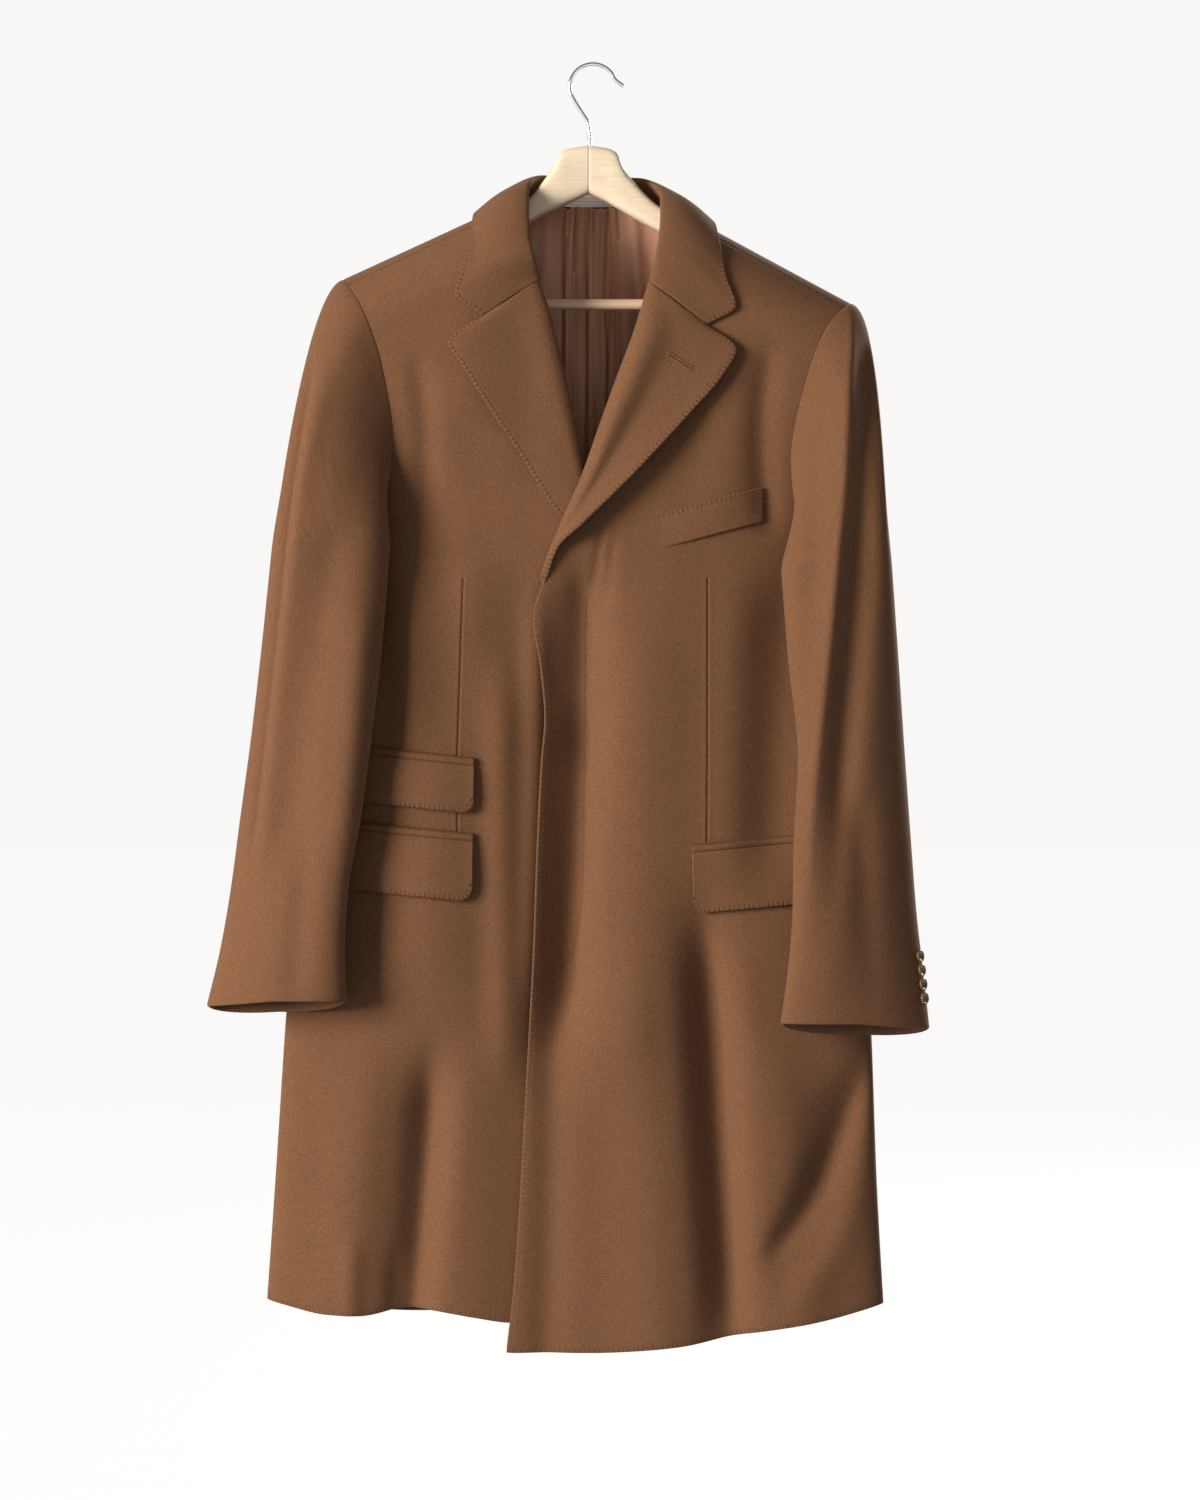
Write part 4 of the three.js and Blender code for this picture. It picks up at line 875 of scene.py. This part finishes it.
def border(rows, columns):
    """Indices of the grid's outer places in order, with each one's neighbour further in."""
    j = np.concatenate([
        np.zeros(columns, int), np.arange(rows), np.full(columns, rows), np.arange(rows, 0, -1),
    ])
    i = np.concatenate([
        np.arange(columns), np.full(rows, columns), np.arange(columns, 0, -1), np.zeros(rows, int),
    ])
    inward_j, inward_i = np.clip(j, 1, rows - 1), np.clip(i, 1, columns - 1)
    stride = columns + 1
    return j * stride + i, inward_j * stride + inward_i


def build(name, vertices, faces, material, uvs=None):
    """A smooth mesh object from places and maps in millimetres and four-cornered faces, turned outwards."""
    mesh = bpy.data.meshes.new(name)
    a, b, c, d = (vertices[faces[:, k]] for k in range(4))
    volume = (a * (np.cross(b, c) + np.cross(c, d))).sum()
    if volume < 0:
        faces = faces[:, ::-1]
    mesh.vertices.add(len(vertices))
    mesh.vertices.foreach_set("co", (vertices * MM).astype(np.float32).ravel())
    mesh.loops.add(faces.size)
    mesh.loops.foreach_set("vertex_index", faces.astype(np.int32).ravel())
    mesh.polygons.add(len(faces))
    mesh.polygons.foreach_set("loop_start", 4 * np.arange(len(faces), dtype=np.int32))
    mesh.polygons.foreach_set("loop_total", np.full(len(faces), 4, np.int32))
    mesh.update(calc_edges=True)
    mesh.polygons.foreach_set("use_smooth", np.ones(len(faces), bool))
    for layer, values in (uvs or {}).items():
        uv = mesh.uv_layers.new(name=layer)
        uv.data.foreach_set("uv", (values[faces.ravel()] * MM).astype(np.float32).ravel())
    mesh.materials.append(material)
    piece = bpy.data.objects.new(name, mesh)
    bpy.context.scene.collection.objects.link(piece)
    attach(piece, "root")
    return piece


def runs(points):
    """Length along the rows and along the columns, as a map of the cloth in millimetres."""
    across = np.linalg.norm(np.diff(points, axis=1), axis=-1).cumsum(axis=1)
    up = np.linalg.norm(np.diff(points, axis=0), axis=-1).cumsum(axis=0)
    return np.stack([np.pad(across, ((0, 0), (1, 0))), np.pad(up, ((1, 0), (0, 0)))], axis=-1)


def shell(name, points, thickness, material, edge=None):
    """Two layers half a thickness off the grid, joined round the border by a half circle."""
    rows, columns = points.shape[0] - 1, points.shape[1] - 1
    normal = normals(points).reshape(-1, 3)
    flat = points.reshape(-1, 3)
    half = thickness / 2
    loop, inner = border(rows, columns)
    outward = flat[loop] - flat[inner]
    outward = unit(outward - (outward * normal[loop]).sum(-1, keepdims=True) * normal[loop])
    rims = [
        flat[loop] + half * (normal[loop] * math.cos(turn) + outward * math.sin(turn))
        for turn in np.radians(RIM_TURNS)
    ]
    vertices = np.concatenate([flat + normal * half, flat - normal * half, *rims])
    count = len(flat)
    stride = columns + 1
    j, i = np.meshgrid(np.arange(rows), np.arange(columns), indexing="ij")
    corner = (j * stride + i).ravel()
    quads = np.stack([corner, corner + 1, corner + stride + 1, corner + stride], axis=1)
    middle = 2 * count + np.arange(len(rims) * len(loop)).reshape(len(rims), -1)
    rings = [loop, *middle, loop + count]
    sides = [
        np.stack([low, high, np.roll(high, -1), np.roll(low, -1)], axis=1)
        for low, high in zip(rings, rings[1:])
    ]
    faces = np.concatenate([quads, (quads + count)[:, ::-1], *sides])
    maps = {"cloth": runs(points)}
    if edge is not None:
        maps["edge"] = edge
    uvs = {}
    for layer, values in maps.items():
        values = values.reshape(-1, 2)
        uvs[layer] = np.concatenate([values, values] + [values[loop]] * len(rims))
    return build(name, vertices, faces, material, uvs)


def cut_of(points):
    """Width, length and area of the flat cut in metres, measured over the middle of the cloth."""
    across = np.linalg.norm(np.diff(points, axis=1), axis=-1)
    up = np.linalg.norm(np.diff(points, axis=0), axis=-1)
    a, b = points[1:, 1:] - points[:-1, :-1], points[1:, :-1] - points[:-1, 1:]
    area = np.linalg.norm(np.cross(a, b), axis=-1).sum() / 2
    width, length = across.sum(axis=1).max(), up.sum(axis=0).max()
    return float(width) * MM, float(length) * MM, min(float(area) * MM**2, float(width * length) * MM**2)


def cloth_piece(node, points, thickness, material, edge=None):
    """A cloth in place of its CAD node; edge is the line of places from which its stitches are measured."""
    edge = None if edge is None else edge_map(points, edge)
    piece = shell(f"{node}_cloth", points, thickness, material, edge)
    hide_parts(node)
    width, length, area = cut_of(points)
    return piece


class Number:
    """A number worked out by a material's nodes, with the usual operators."""

    def __init__(self, tree, socket):
        self.tree = tree
        self.socket = socket

    def math(self, operation, *others):
        node = self.tree.nodes.new("ShaderNodeMath")
        node.operation = operation
        for place, value in enumerate((self, *others)):
            if isinstance(value, Number):
                self.tree.links.new(value.socket, node.inputs[place])
            else:
                node.inputs[place].default_value = value
        return Number(self.tree, node.outputs[0])

    def __add__(self, other):
        return self.math("ADD", other)

    def __sub__(self, other):
        return self.math("SUBTRACT", other)

    def __mul__(self, other):
        return self.math("MULTIPLY", other)

    def __truediv__(self, other):
        return self.math("DIVIDE", other)

    def __rsub__(self, other):
        return self.math("MULTIPLY", -1).math("ADD", other)

    def __neg__(self):
        return self.math("MULTIPLY", -1)

    __radd__ = __add__
    __rmul__ = __mul__

    def bell(self, centre, width):
        """One at the centre, fading to nothing about two widths off it."""
        off = (self - centre) / width
        return (off * off * -1).math("EXPONENT")

    def step(self, low, high):
        """Nothing below low, one above high, and smooth between them."""
        node = self.tree.nodes.new("ShaderNodeMapRange")
        node.interpolation_type = "SMOOTHSTEP"
        self.tree.links.new(self.socket, node.inputs["Value"])
        node.inputs["From Min"].default_value = low
        node.inputs["From Max"].default_value = high
        return Number(self.tree, node.outputs["Result"])

    def wave(self, pitch):
        """One at every multiple of the pitch, nothing half-way between."""
        return (self * (2 * math.pi / pitch)).math("COSINE") * 0.5 + 0.5


class Material:
    """A material with one principled shader, and short ways to give it nodes."""

    def __init__(self, name, roughness, colour, **constants):
        self.material = bpy.data.materials.new(name)
        self.material.use_nodes = True
        self.tree = self.material.node_tree
        self.shader = self.tree.nodes["Principled BSDF"]
        self.shader.inputs["Roughness"].default_value = roughness
        self.shader.inputs["Base Color"].default_value = (*colour, 1)
        for socket, value in constants.items():
            self.shader.inputs[socket.replace("_", " ")].default_value = value

    def node(self, kind, settings=(), inputs=()):
        """A node of a kind, with its settings made first and then its sockets' values or links."""
        node = self.tree.nodes.new(kind)
        for name, value in dict(settings).items():
            setattr(node, name, value)
        for name, value in dict(inputs).items():
            if isinstance(value, Number):
                value = value.socket
            if isinstance(value, bpy.types.NodeSocket):
                self.tree.links.new(value, node.inputs[name])
            else:
                node.inputs[name].default_value = value
        return node

    def uv(self, layer):
        return self.node("ShaderNodeUVMap", {"uv_map": layer}).outputs["UV"]

    def place(self):
        """The place on the object, in metres."""
        return self.node("ShaderNodeTexCoord").outputs["Object"]

    def parts(self, vector):
        """The vector's three numbers, in millimetres."""
        node = self.node("ShaderNodeSeparateXYZ", (), {0: vector})
        return [Number(self.tree, output) / MM for output in node.outputs]

    def scaled(self, vector, by):
        node = self.node("ShaderNodeVectorMath", {"operation": "MULTIPLY"}, {0: vector, 1: by})
        return node.outputs[0]

    def noise(self, vector, by, detail=2.0, roughness=0.5, distortion=0.0):
        """Soft noise about nothing, from about a half below to a half above."""
        node = self.node(
            "ShaderNodeTexNoise", (),
            {"Vector": self.scaled(vector, by), "Scale": 1.0, "Detail": detail, "Roughness": roughness,
             "Distortion": distortion},
        )
        return Number(self.tree, node.outputs[0]) - 0.5

    def patterns(self, vector, rows, tone):
        """Tone and height of a finish: the sum of its noises, each with its own share of both."""
        height = 0
        for by, detail, roughness, shade, rise in rows:
            noise = self.noise(vector, by, detail, roughness)
            tone, height = tone + noise * shade, height + noise * rise
        return tone, height

    def colour(self, share, low, high):
        """A colour between two, by a share."""
        return self.mixed(share, (*low, 1), (*high, 1))

    def mixed(self, share, a, b):
        """A colour between two that may be links, by a share. The node's colours are its sockets 6 and 7."""
        return self.node("ShaderNodeMix", {"data_type": "RGBA"}, {0: share, 6: a, 7: b}).outputs[2]

    def set(self, socket, value):
        """Links a number or a colour to a socket of the shader."""
        if isinstance(value, Number):
            value = value.socket
        self.tree.links.new(value, self.shader.inputs[socket])

    def bump(self, height, strength=1.0):
        """Height in millimetres."""
        node = self.node("ShaderNodeBump", (), {"Height": height, "Strength": strength, "Distance": MM})
        self.tree.links.new(node.outputs[0], self.shader.inputs["Normal"])


def segment_distance(x, z, a, b):
    """Distance of the place x, z from the straight line between two places."""
    along = (b[0] - a[0], b[1] - a[1])
    square = along[0] ** 2 + along[1] ** 2
    t = ((x - a[0]) * (along[0] / square) + (z - a[1]) * (along[1] / square)).math("MAXIMUM", 0)
    t = t.math("MINIMUM", 1)
    off_x = x - a[0] - t * along[0]
    off_z = z - a[1] - t * along[1]
    return (off_x * off_x + off_z * off_z).math("SQRT")


def line_distance(x, z, line):
    """Distance from the nearest segment of a line through places."""
    found = segment_distance(x, z, line[0], line[1])
    for a, b in zip(line[1:], line[2:]):
        found = found.math("MINIMUM", segment_distance(x, z, a, b))
    return found


def pick_stitches(run, away):
    """Height and painted shade of small pricks beside an edge, each a short dent that runs out to the edge
    and is painted darker as shade.
    """
    row = away.step(PICK["end"], PICK["in"])
    prick = run.wave(PICK["pitch"]).step(PICK["sharp"], 1.0) * row
    groove = away.bell(PICK["groove_at"], PICK["groove_width"])
    return -(prick * PICK["deep"]) - groove * PICK["groove"], -(prick * PICK["dark"])


def seam_line(distance, deep=SEAM["deep"], width=SEAM["width"]):
    """Height and painted shade of a seam: a narrow groove between two low shoulders, painted darker in the
    groove.
    """
    groove = distance.bell(0, width)
    shoulder = distance.bell(SEAM["shoulder_at"], SEAM["shoulder_width"])
    return shoulder * SEAM["raised"] - groove * deep, -(groove * SEAM["dark"])


def shoulder_seam(x, z, side):
    """The seam that runs a little in front of the shoulder's crest, with painted shade in its groove."""
    below = (x.math("ABSOLUTE") * -CREST_SLOPE[side] + CREST_PEAK - z) * SHOULDER_SEAM["share"]
    return seam_line(below - SHOULDER_SEAM["below"], SHOULDER_SEAM["deep"], SHOULDER_SEAM["width"])


def front_marks(side):
    """The dart, the shoulder's seam and the pricked edge, and on the left the fly's stitching, each with
    painted shade in its groove.
    """

    def marks(x, z, run, away):
        dart = seam_line(line_distance(x, z, DARTS[side]))
        picks = (mark * PICK_SHARE[side] for mark in pick_stitches(run, away))
        rows = zip(dart, shoulder_seam(x, z, side), picks)
        height, shade = (sewn + seam + pick for sewn, seam, pick in rows)
        if side == "left":
            groove = line_distance(x, z, FLY_LINE).bell(0, FLY["width"])
            height, shade = height - groove * FLY["deep"], shade - groove * FLY["dark"]
        return height, shade

    return marks


def picked_marks(x, z, run, away):
    """The stitches alone, for flaps, welt, collar and right lapel."""
    return pick_stitches(run, away)


def jet_marks(x, z, run, away):
    """Painted shade where the strip turns in to its seams, above and below, with the same dip in height."""
    turned = away.bell(0, JET_TURN["width"]) * -JET_TURN["deep"]
    return turned, turned


def left_lapel_marks(x, z, run, away):
    """Pick stitches and the worked buttonhole, with its painted highlight and painted shade."""
    height, shade = pick_stitches(run, away)
    hole = line_distance(x, z, BUTTONHOLE)
    for at, width, rise, tone in BUTTONHOLE_RINGS:
        ring = hole.bell(at, width)
        height, shade = height + ring * rise, shade + ring * tone
    return height, shade


def wool(name, marks=None):
    """Napped cloth: fine streaks down the grain and a soft mottle, with painted shade in its seams and
    stitches.
    """
    m = Material(
        name, 0.92, WOOL_LIGHT, Sheen_Weight=0.16, Sheen_Roughness=0.45, Sheen_Tint=WOOL_SHEEN,
        Specular_IOR_Level=0.2,
    )
    tone, height = m.patterns(m.uv("cloth"), WOOL_GRAIN, WOOL_TONE)
    if marks:
        x, _, z = m.parts(m.place())
        run, away, _ = m.parts(m.uv("edge"))
        rise, shade = marks(x, z, run, away)
        # The marks' shade is painted shade in the seams, stitches and grooves.
        tone, height = tone + shade, height + rise
    m.set("Base Color", m.colour(tone.math("MAXIMUM", 0), WOOL_DARK, WOOL_LIGHT))
    m.bump(height, 0.85)
    return m.material


def lining_material():
    """Satin: smooth, softly glossy, with a faint ripple, a line of painted shade beside each pleat and a
    painted highlight next to it.
    """
    m = Material("lining", 0.45, LINING_LIGHT, Sheen_Weight=0.05, Specular_IOR_Level=0.3)
    tone, height = m.patterns(m.uv("cloth"), LINING_GRAIN, LINING_TONE)
    x, _, z = m.parts(m.place())
    # Painted shade along each pleat line, and a painted highlight beside it
    for line in PLEAT_SHADE_LINES:
        away = line_distance(x, z, line)
        for at, width, shade in PLEAT_SHADES:
            tone = tone + away.bell(at, width) * shade
    m.set("Base Color", m.colour(tone.math("MAXIMUM", 0), LINING_DARK, LINING_LIGHT))
    m.bump(height, 0.6)
    return m.material


def label_material():
    """Plain satin tape with faint ribs across it, lighter on their crests and darker between them."""
    m = Material("label", 0.35, LABEL_BASE, Specular_IOR_Level=0.6)
    _, up, _ = m.parts(m.uv("cloth"))
    rib = up.wave(RIB["pitch"])
    m.set("Base Color", m.colour(rib, LABEL_DARK, LABEL_LIGHT))
    m.bump(rib * RIB["height"])
    return m.material


def wood_material(name):
    """Fine grain: stretched noise along the piece, with thin darker pores."""
    dark, light, grain = WOODS[name]
    m = Material(name, WOOD_ROUGH, light, Coat_Weight=0.12, Coat_Roughness=0.3)
    place = m.place()
    bands = m.noise(place, grain, 3, 0.55, 0.6)
    pores = m.noise(place, tuple(value * PORES["finer"] for value in grain), 2, 0.6)
    m.set("Base Color", m.colour(WOOD_TONE + bands * 1.1 + pores * PORES["tone"], dark, light))
    m.set("Roughness", WOOD_ROUGH + pores * PORES["rough"])
    m.bump(pores * PORES["height"])
    return m.material


def horn_material():
    """Polished horn, clouded, with four holes dented by a bump and painted near-black as shade."""
    m = Material("horn", 0.28, HORN_BASE, Specular_IOR_Level=0.6)
    x, y, _ = m.parts(m.uv("face"))
    cloud = m.noise(m.place(), HORN_CLOUD, 3, 0.55, 1.2)
    away_x, away_y = (part.math("ABSOLUTE") - HOLE["off"] for part in (x, y))
    hole = (away_x * away_x + away_y * away_y).math("SQRT").step(HOLE["outside"], HOLE["inside"])
    horn = m.colour(0.5 + cloud * 1.6, HORN_DARK, HORN_LIGHT)
    # The holes are painted near-black: painted shade standing in for their depth
    m.set("Base Color", m.mixed(hole, horn, HOLE_PAINTED_SHADE))
    m.bump(-(hole * HOLE["deep"]))
    return m.material


def chrome_material():
    """Bright bare metal."""
    return Material("chrome", 0.12, CHROME, Metallic=1.0).material


def tube(name, line, radius, sides, material):
    """A round section swept along a line square to the Y axis, its ends rounded off in quarter circles."""
    tangent = unit(np.gradient(line, axis=0))
    side = np.cross(tangent, (0, 1, 0))
    angle = np.radians(np.linspace(*TUBE_END))
    reach, share = (radius * np.sin(angle))[:, None], np.maximum(np.cos(angle), POLE)
    centre = np.concatenate([line[0] - reach * tangent[0], line, line[-1] + reach[::-1] * tangent[-1]])
    ends = np.ones((len(angle), 1))
    across = np.concatenate([ends * side[0], side, ends * side[-1]])
    size = radius * np.concatenate([share, np.ones(len(line)), share[::-1]])[:, None, None]
    turn = np.linspace(0, 2 * math.pi, sides, endpoint=False)[:, None]
    section = np.cos(turn) * across[:, None] + np.sin(turn) * np.array([0, 1, 0])
    return closed_tube(name, centre[:, None] + size * section, material)


def closed_tube(name, points, material, uvs=None):
    """Rings of points joined into a tube, its ends closed by faces in to the rings' own middles."""
    count, around = points.shape[:2]
    flat = points.reshape(-1, 3)
    j, i = np.meshgrid(np.arange(count - 1), np.arange(around), indexing="ij")
    low, after = j * around, (i + 1) % around
    sides = np.stack([low + i, low + after, low + around + after, low + around + i], axis=-1)
    k = np.arange(around // 2 - 1)
    cap = np.stack([k, k + 1, around - 2 - k, around - 1 - k], axis=1)
    last = (count - 1) * around
    faces = np.concatenate([sides.reshape(-1, 4), cap[:, ::-1], cap + last])
    return build(name, flat, faces, material, uvs)


def spline(places, samples):
    """A smooth line through places: at each, the slope is that of the line between its neighbours."""
    points = np.array(places, float)
    steps = np.sqrt(np.linalg.norm(np.diff(points, axis=0), axis=1))
    knots = np.concatenate([[0], np.cumsum(steps)])
    slope = np.gradient(points, knots, axis=0)
    at = np.linspace(0, knots[-1], samples)
    i = np.clip(np.searchsorted(knots, at, side="right") - 1, 0, len(knots) - 2)
    width = (knots[i + 1] - knots[i])[:, None]
    t = (at[:, None] - knots[i][:, None]) / width
    ends = points[i] * (2 * t**3 - 3 * t**2 + 1) + points[i + 1] * (3 * t**2 - 2 * t**3)
    return ends + width * (slope[i] * (t**3 - 2 * t**2 + t) + slope[i + 1] * (t**3 - t**2))


def hook(material):
    """The stem, the lean over to the ring, three quarters of a ring, and the outward tip."""
    turn = np.radians(np.linspace(HOOK_RING["from"], HOOK_RING["to"], HOOK_RING["steps"]))
    middle = HOOK["wire"] / 2 - HOOK["ring"]
    ring = [(HOOK["ring"] * math.cos(a), middle + HOOK["ring"] * math.sin(a)) for a in turn]
    route = [(x, 0, z) for x, z in [*HOOK_STEM, *ring, *HOOK_TIP]]
    line = spline(route, HOOK["samples"])
    piece = tube("hook_wire", line, HOOK["wire"] / 2, HOOK["sides"], material)
    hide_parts("hanger_hook")


def bar(material):
    """A straight round rod between the arms, as far forward as their ends."""
    reach = np.linspace(-BAR["reach"], BAR["reach"], BAR["samples"])
    end_y = float(middle_y(np.array(BAR["reach"], float)))
    line = stack(reach, np.full_like(reach, end_y), BAR["z"])
    piece = tube("bar_rod", line, BAR["radius"], BAR["sides"], material)
    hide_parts("hanger_bar")


def arm(side, material):
    """Squared ellipses, chamfered where the two arms meet, swept forward with the shoulder."""
    rows = HANGER_ARM[side]
    sign = sign_of(side)
    body = np.linspace(ARM_JOINT + sign * ARM_GRID["from"], rows[-1][0], ARM_GRID["sections"])
    x = np.concatenate([[ARM_JOINT, ARM_JOINT + sign * ARM_CHAMFER], body])
    top, bottom, half = (curve(rows, c)(x) for c in (1, 2, 3))
    inset = np.where(np.arange(len(x)) == 0, ARM_CHAMFER, 0)
    turn = np.linspace(0, 2 * math.pi, ARM_GRID["sides"], endpoint=False)
    squared = [np.sign(f(turn)) * np.abs(f(turn)) ** ARM_SQUARE for f in (np.cos, np.sin)]
    y = middle_y(x)[:, None] + (half - inset)[:, None] * squared[0]
    z = ((top + bottom) / 2)[:, None] + ((top - bottom) / 2 - inset)[:, None] * squared[1]
    piece = closed_tube(f"arm_{side}", stack(x[:, None], y, z), material)
    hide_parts(f"hanger_arm_{side}")


def button(side, count, material):
    """A profile turned round the sleeve's normal, standing on its surface."""
    z = SLEEVE[side][-1][0] + BUTTON["lowest"] + BUTTON["spacing"] * (BUTTON["count"] - count)
    ring = BUTTON_RING[side]

    def at(level, turn):
        return sleeve_ring(side, np.array(float(level)), np.array(float(turn)))

    centre = at(z, ring)
    round_it = at(z, ring + 2) - at(z, ring - 2)
    up = at(z + 4, ring) - at(z - 4, ring)
    normal = unit(np.cross(round_it, up))
    if np.dot(normal, centre - at(z, ring + 180)) < 0:
        normal = -normal
    across = unit(np.cross(up, normal))
    rise = np.cross(normal, across)
    turn = np.linspace(0, 2 * math.pi, BUTTON["sides"], endpoint=False)
    radius, height = np.array(BUTTON_PROFILE, float).T
    radius = np.maximum(radius, POLE)
    a, b = radius[:, None] * np.cos(turn), radius[:, None] * np.sin(turn)
    base = centre + normal * WALL / 2
    points = base + a[..., None] * across + b[..., None] * rise + height[:, None, None] * normal
    uvs = {"face": np.stack([a, b], axis=-1).reshape(-1, 2)}
    piece = closed_tube(f"button_{side}_{count}", points, material, uvs)
    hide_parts(f"cuff_button_{side}_{count}")


def coat():
    """Fronts, backs, sleeves, lapels and collar. It gives back the wool with stitched edges."""
    plain = wool("wool")
    picked = wool("wool_picked", picked_marks)
    fronts = {side: wool(f"wool_{side}_front", front_marks(side)) for side in ("left", "right")}
    lapels = {"left": wool("wool_left_lapel", left_lapel_marks), "right": picked}
    seams = {
        "top": (SLEEVE_BACK_SEAM - 360 + SEAM_TURN_GAP, SLEEVE_FRONT_SEAM - SEAM_TURN_GAP),
        "under": (SLEEVE_FRONT_SEAM + SEAM_TURN_GAP, SLEEVE_BACK_SEAM - SEAM_TURN_GAP),
    }
    for side in ("right", "left"):
        points = front_panel(side)
        below = points[:, 0][points[:, 0, 2] < BREAK_ROW_Z]
        edge = np.concatenate([below[::-1], points[0, 1:]])
        cloth_piece(f"front_{side}", points, WALL, fronts[side], edge=edge)
        cloth_piece(f"back_{side}", back_panel(side), WALL, plain)
        for part, carrier in (("top", "front"), ("under", "back")):
            points = sleeve(side, f"sleeve_{part}", *seams[part])
            cloth_piece(f"sleeve_{part}_{side}", points, WALL, plain)
        points = lapel(side)
        cloth_piece(
            f"lapel_{side}", points, EDGED_WALL, lapels[side],
            edge=points[:, -1],
        )
    points = collar()
    cloth_piece(
        "collar", points, EDGED_WALL, picked, edge=points[-1]
    )
    return picked


def pockets(picked):
    """Flaps, the jets over them and the breast welt."""
    piped = wool("wool_jet", jet_marks)
    for name in FLAPS:
        points = flap(name)
        cloth_piece(name, points, FLAP_WALL, picked, edge=points[-1])
    for name in JETS:
        points = jet(name)
        edge = np.concatenate([points[0], points[-1][::-1]])
        cloth_piece(name, points, JET_WALL, piped, edge=edge)
    points = strip("welt", *WELT, WELT_LIFT, WELT_SUNK)
    edge = np.concatenate([points[0], points[:, -1]])
    cloth_piece("breast_welt", points, WELT_WALL, picked, edge=edge)


def insides():
    """The back's lining and the bare label."""
    cloth_piece("lining_back", lining(), LINING_WALL, lining_material())
    cloth_piece("neck_label", label(), LABEL_WALL, label_material())


def hanger():
    """The hook, the two arms and the bar."""
    hook(chrome_material())
    pale = wood_material("wood")
    for side in ("right", "left"):
        arm(side, pale)
    bar(wood_material("bar_wood"))


def buttons():
    """The cuff buttons, counted from the top."""
    horn = horn_material()
    for side in ("right", "left"):
        for count in range(1, BUTTON["count"] + 1):
            button(side, count, horn)


def studio():
    """A pale floor and backdrop, a soft key from the left, a low bounce, a weak fill and a light behind."""
    world = bpy.data.worlds.new("world")
    world.use_nodes = True
    tree = world.node_tree
    around = tree.nodes["Background"]
    around.inputs["Color"].default_value = (*PALE, 1)
    around.inputs["Strength"].default_value = AMBIENT
    seen = tree.nodes.new("ShaderNodeBackground")
    seen.inputs["Color"].default_value = (*PALE, 1)
    seen.inputs["Strength"].default_value = BACKDROP
    pick = tree.nodes.new("ShaderNodeMixShader")
    tree.links.new(tree.nodes.new("ShaderNodeLightPath").outputs["Is Camera Ray"], pick.inputs[0])
    tree.links.new(around.outputs[0], pick.inputs[1])
    tree.links.new(seen.outputs[0], pick.inputs[2])
    tree.links.new(pick.outputs[0], tree.nodes["World Output"].inputs["Surface"])
    bpy.context.scene.world = world
    floor = Material(
        "floor", 0.9, tuple(FLOOR_ALBEDO * part for part in PALE), Emission_Color=(*PALE, 1),
        Emission_Strength=BACKDROP - FLOOR_LIT,
    ).material
    mesh = bpy.data.meshes.new("floor")
    half = FLOOR_SIZE / 2
    corners = [(x * half, y * half, FLOOR_Z) for x, y in ((-1, -1), (1, -1), (1, 1), (-1, 1))]
    mesh.from_pydata(corners, [], [(0, 1, 2, 3)])
    mesh.materials.append(floor)
    piece = bpy.data.objects.new("floor", mesh)
    bpy.context.scene.collection.objects.link(piece)
    piece.visible_diffuse = False
    for name, (place, size, power) in LIGHTS.items():
        light(name, place, size, power)


def light(name, place, size, power):
    """A square light aimed at the coat's middle."""
    data = bpy.data.lights.new(name, "AREA")
    data.size = size
    data.energy = power
    lamp = bpy.data.objects.new(name, data)
    lamp.location = place
    aim = Vector((0, 0, CAMERA_AIM[1] * MM)) - Vector(place)
    lamp.rotation_euler = aim.to_track_quat("-Z", "Y").to_euler()
    bpy.context.scene.collection.objects.link(lamp)


def camera():
    """Straight in front of the coat, with the photograph's height filling the frame."""
    data = bpy.data.cameras.new("camera")
    data.sensor_width = SENSOR
    data.lens = SENSOR * CAMERA_DISTANCE / FRAME_HEIGHT
    eye = bpy.data.objects.new("camera", data)
    eye.location = (CAMERA_AIM[0] * MM, -CAMERA_DISTANCE * MM, CAMERA_AIM[1] * MM)
    eye.rotation_euler = (math.pi / 2, 0, 0)
    bpy.context.scene.collection.objects.link(eye)
    bpy.context.scene.camera = eye


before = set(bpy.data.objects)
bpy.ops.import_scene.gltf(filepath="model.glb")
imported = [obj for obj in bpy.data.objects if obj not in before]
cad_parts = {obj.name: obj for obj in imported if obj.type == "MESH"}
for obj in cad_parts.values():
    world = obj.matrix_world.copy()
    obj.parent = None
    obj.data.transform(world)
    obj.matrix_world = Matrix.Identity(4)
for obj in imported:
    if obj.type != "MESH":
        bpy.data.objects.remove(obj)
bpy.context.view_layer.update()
bpy.context.scene.view_settings.view_transform = "Standard"
picked = coat()
pockets(picked)
insides()
buttons()
hanger()
studio()
camera()
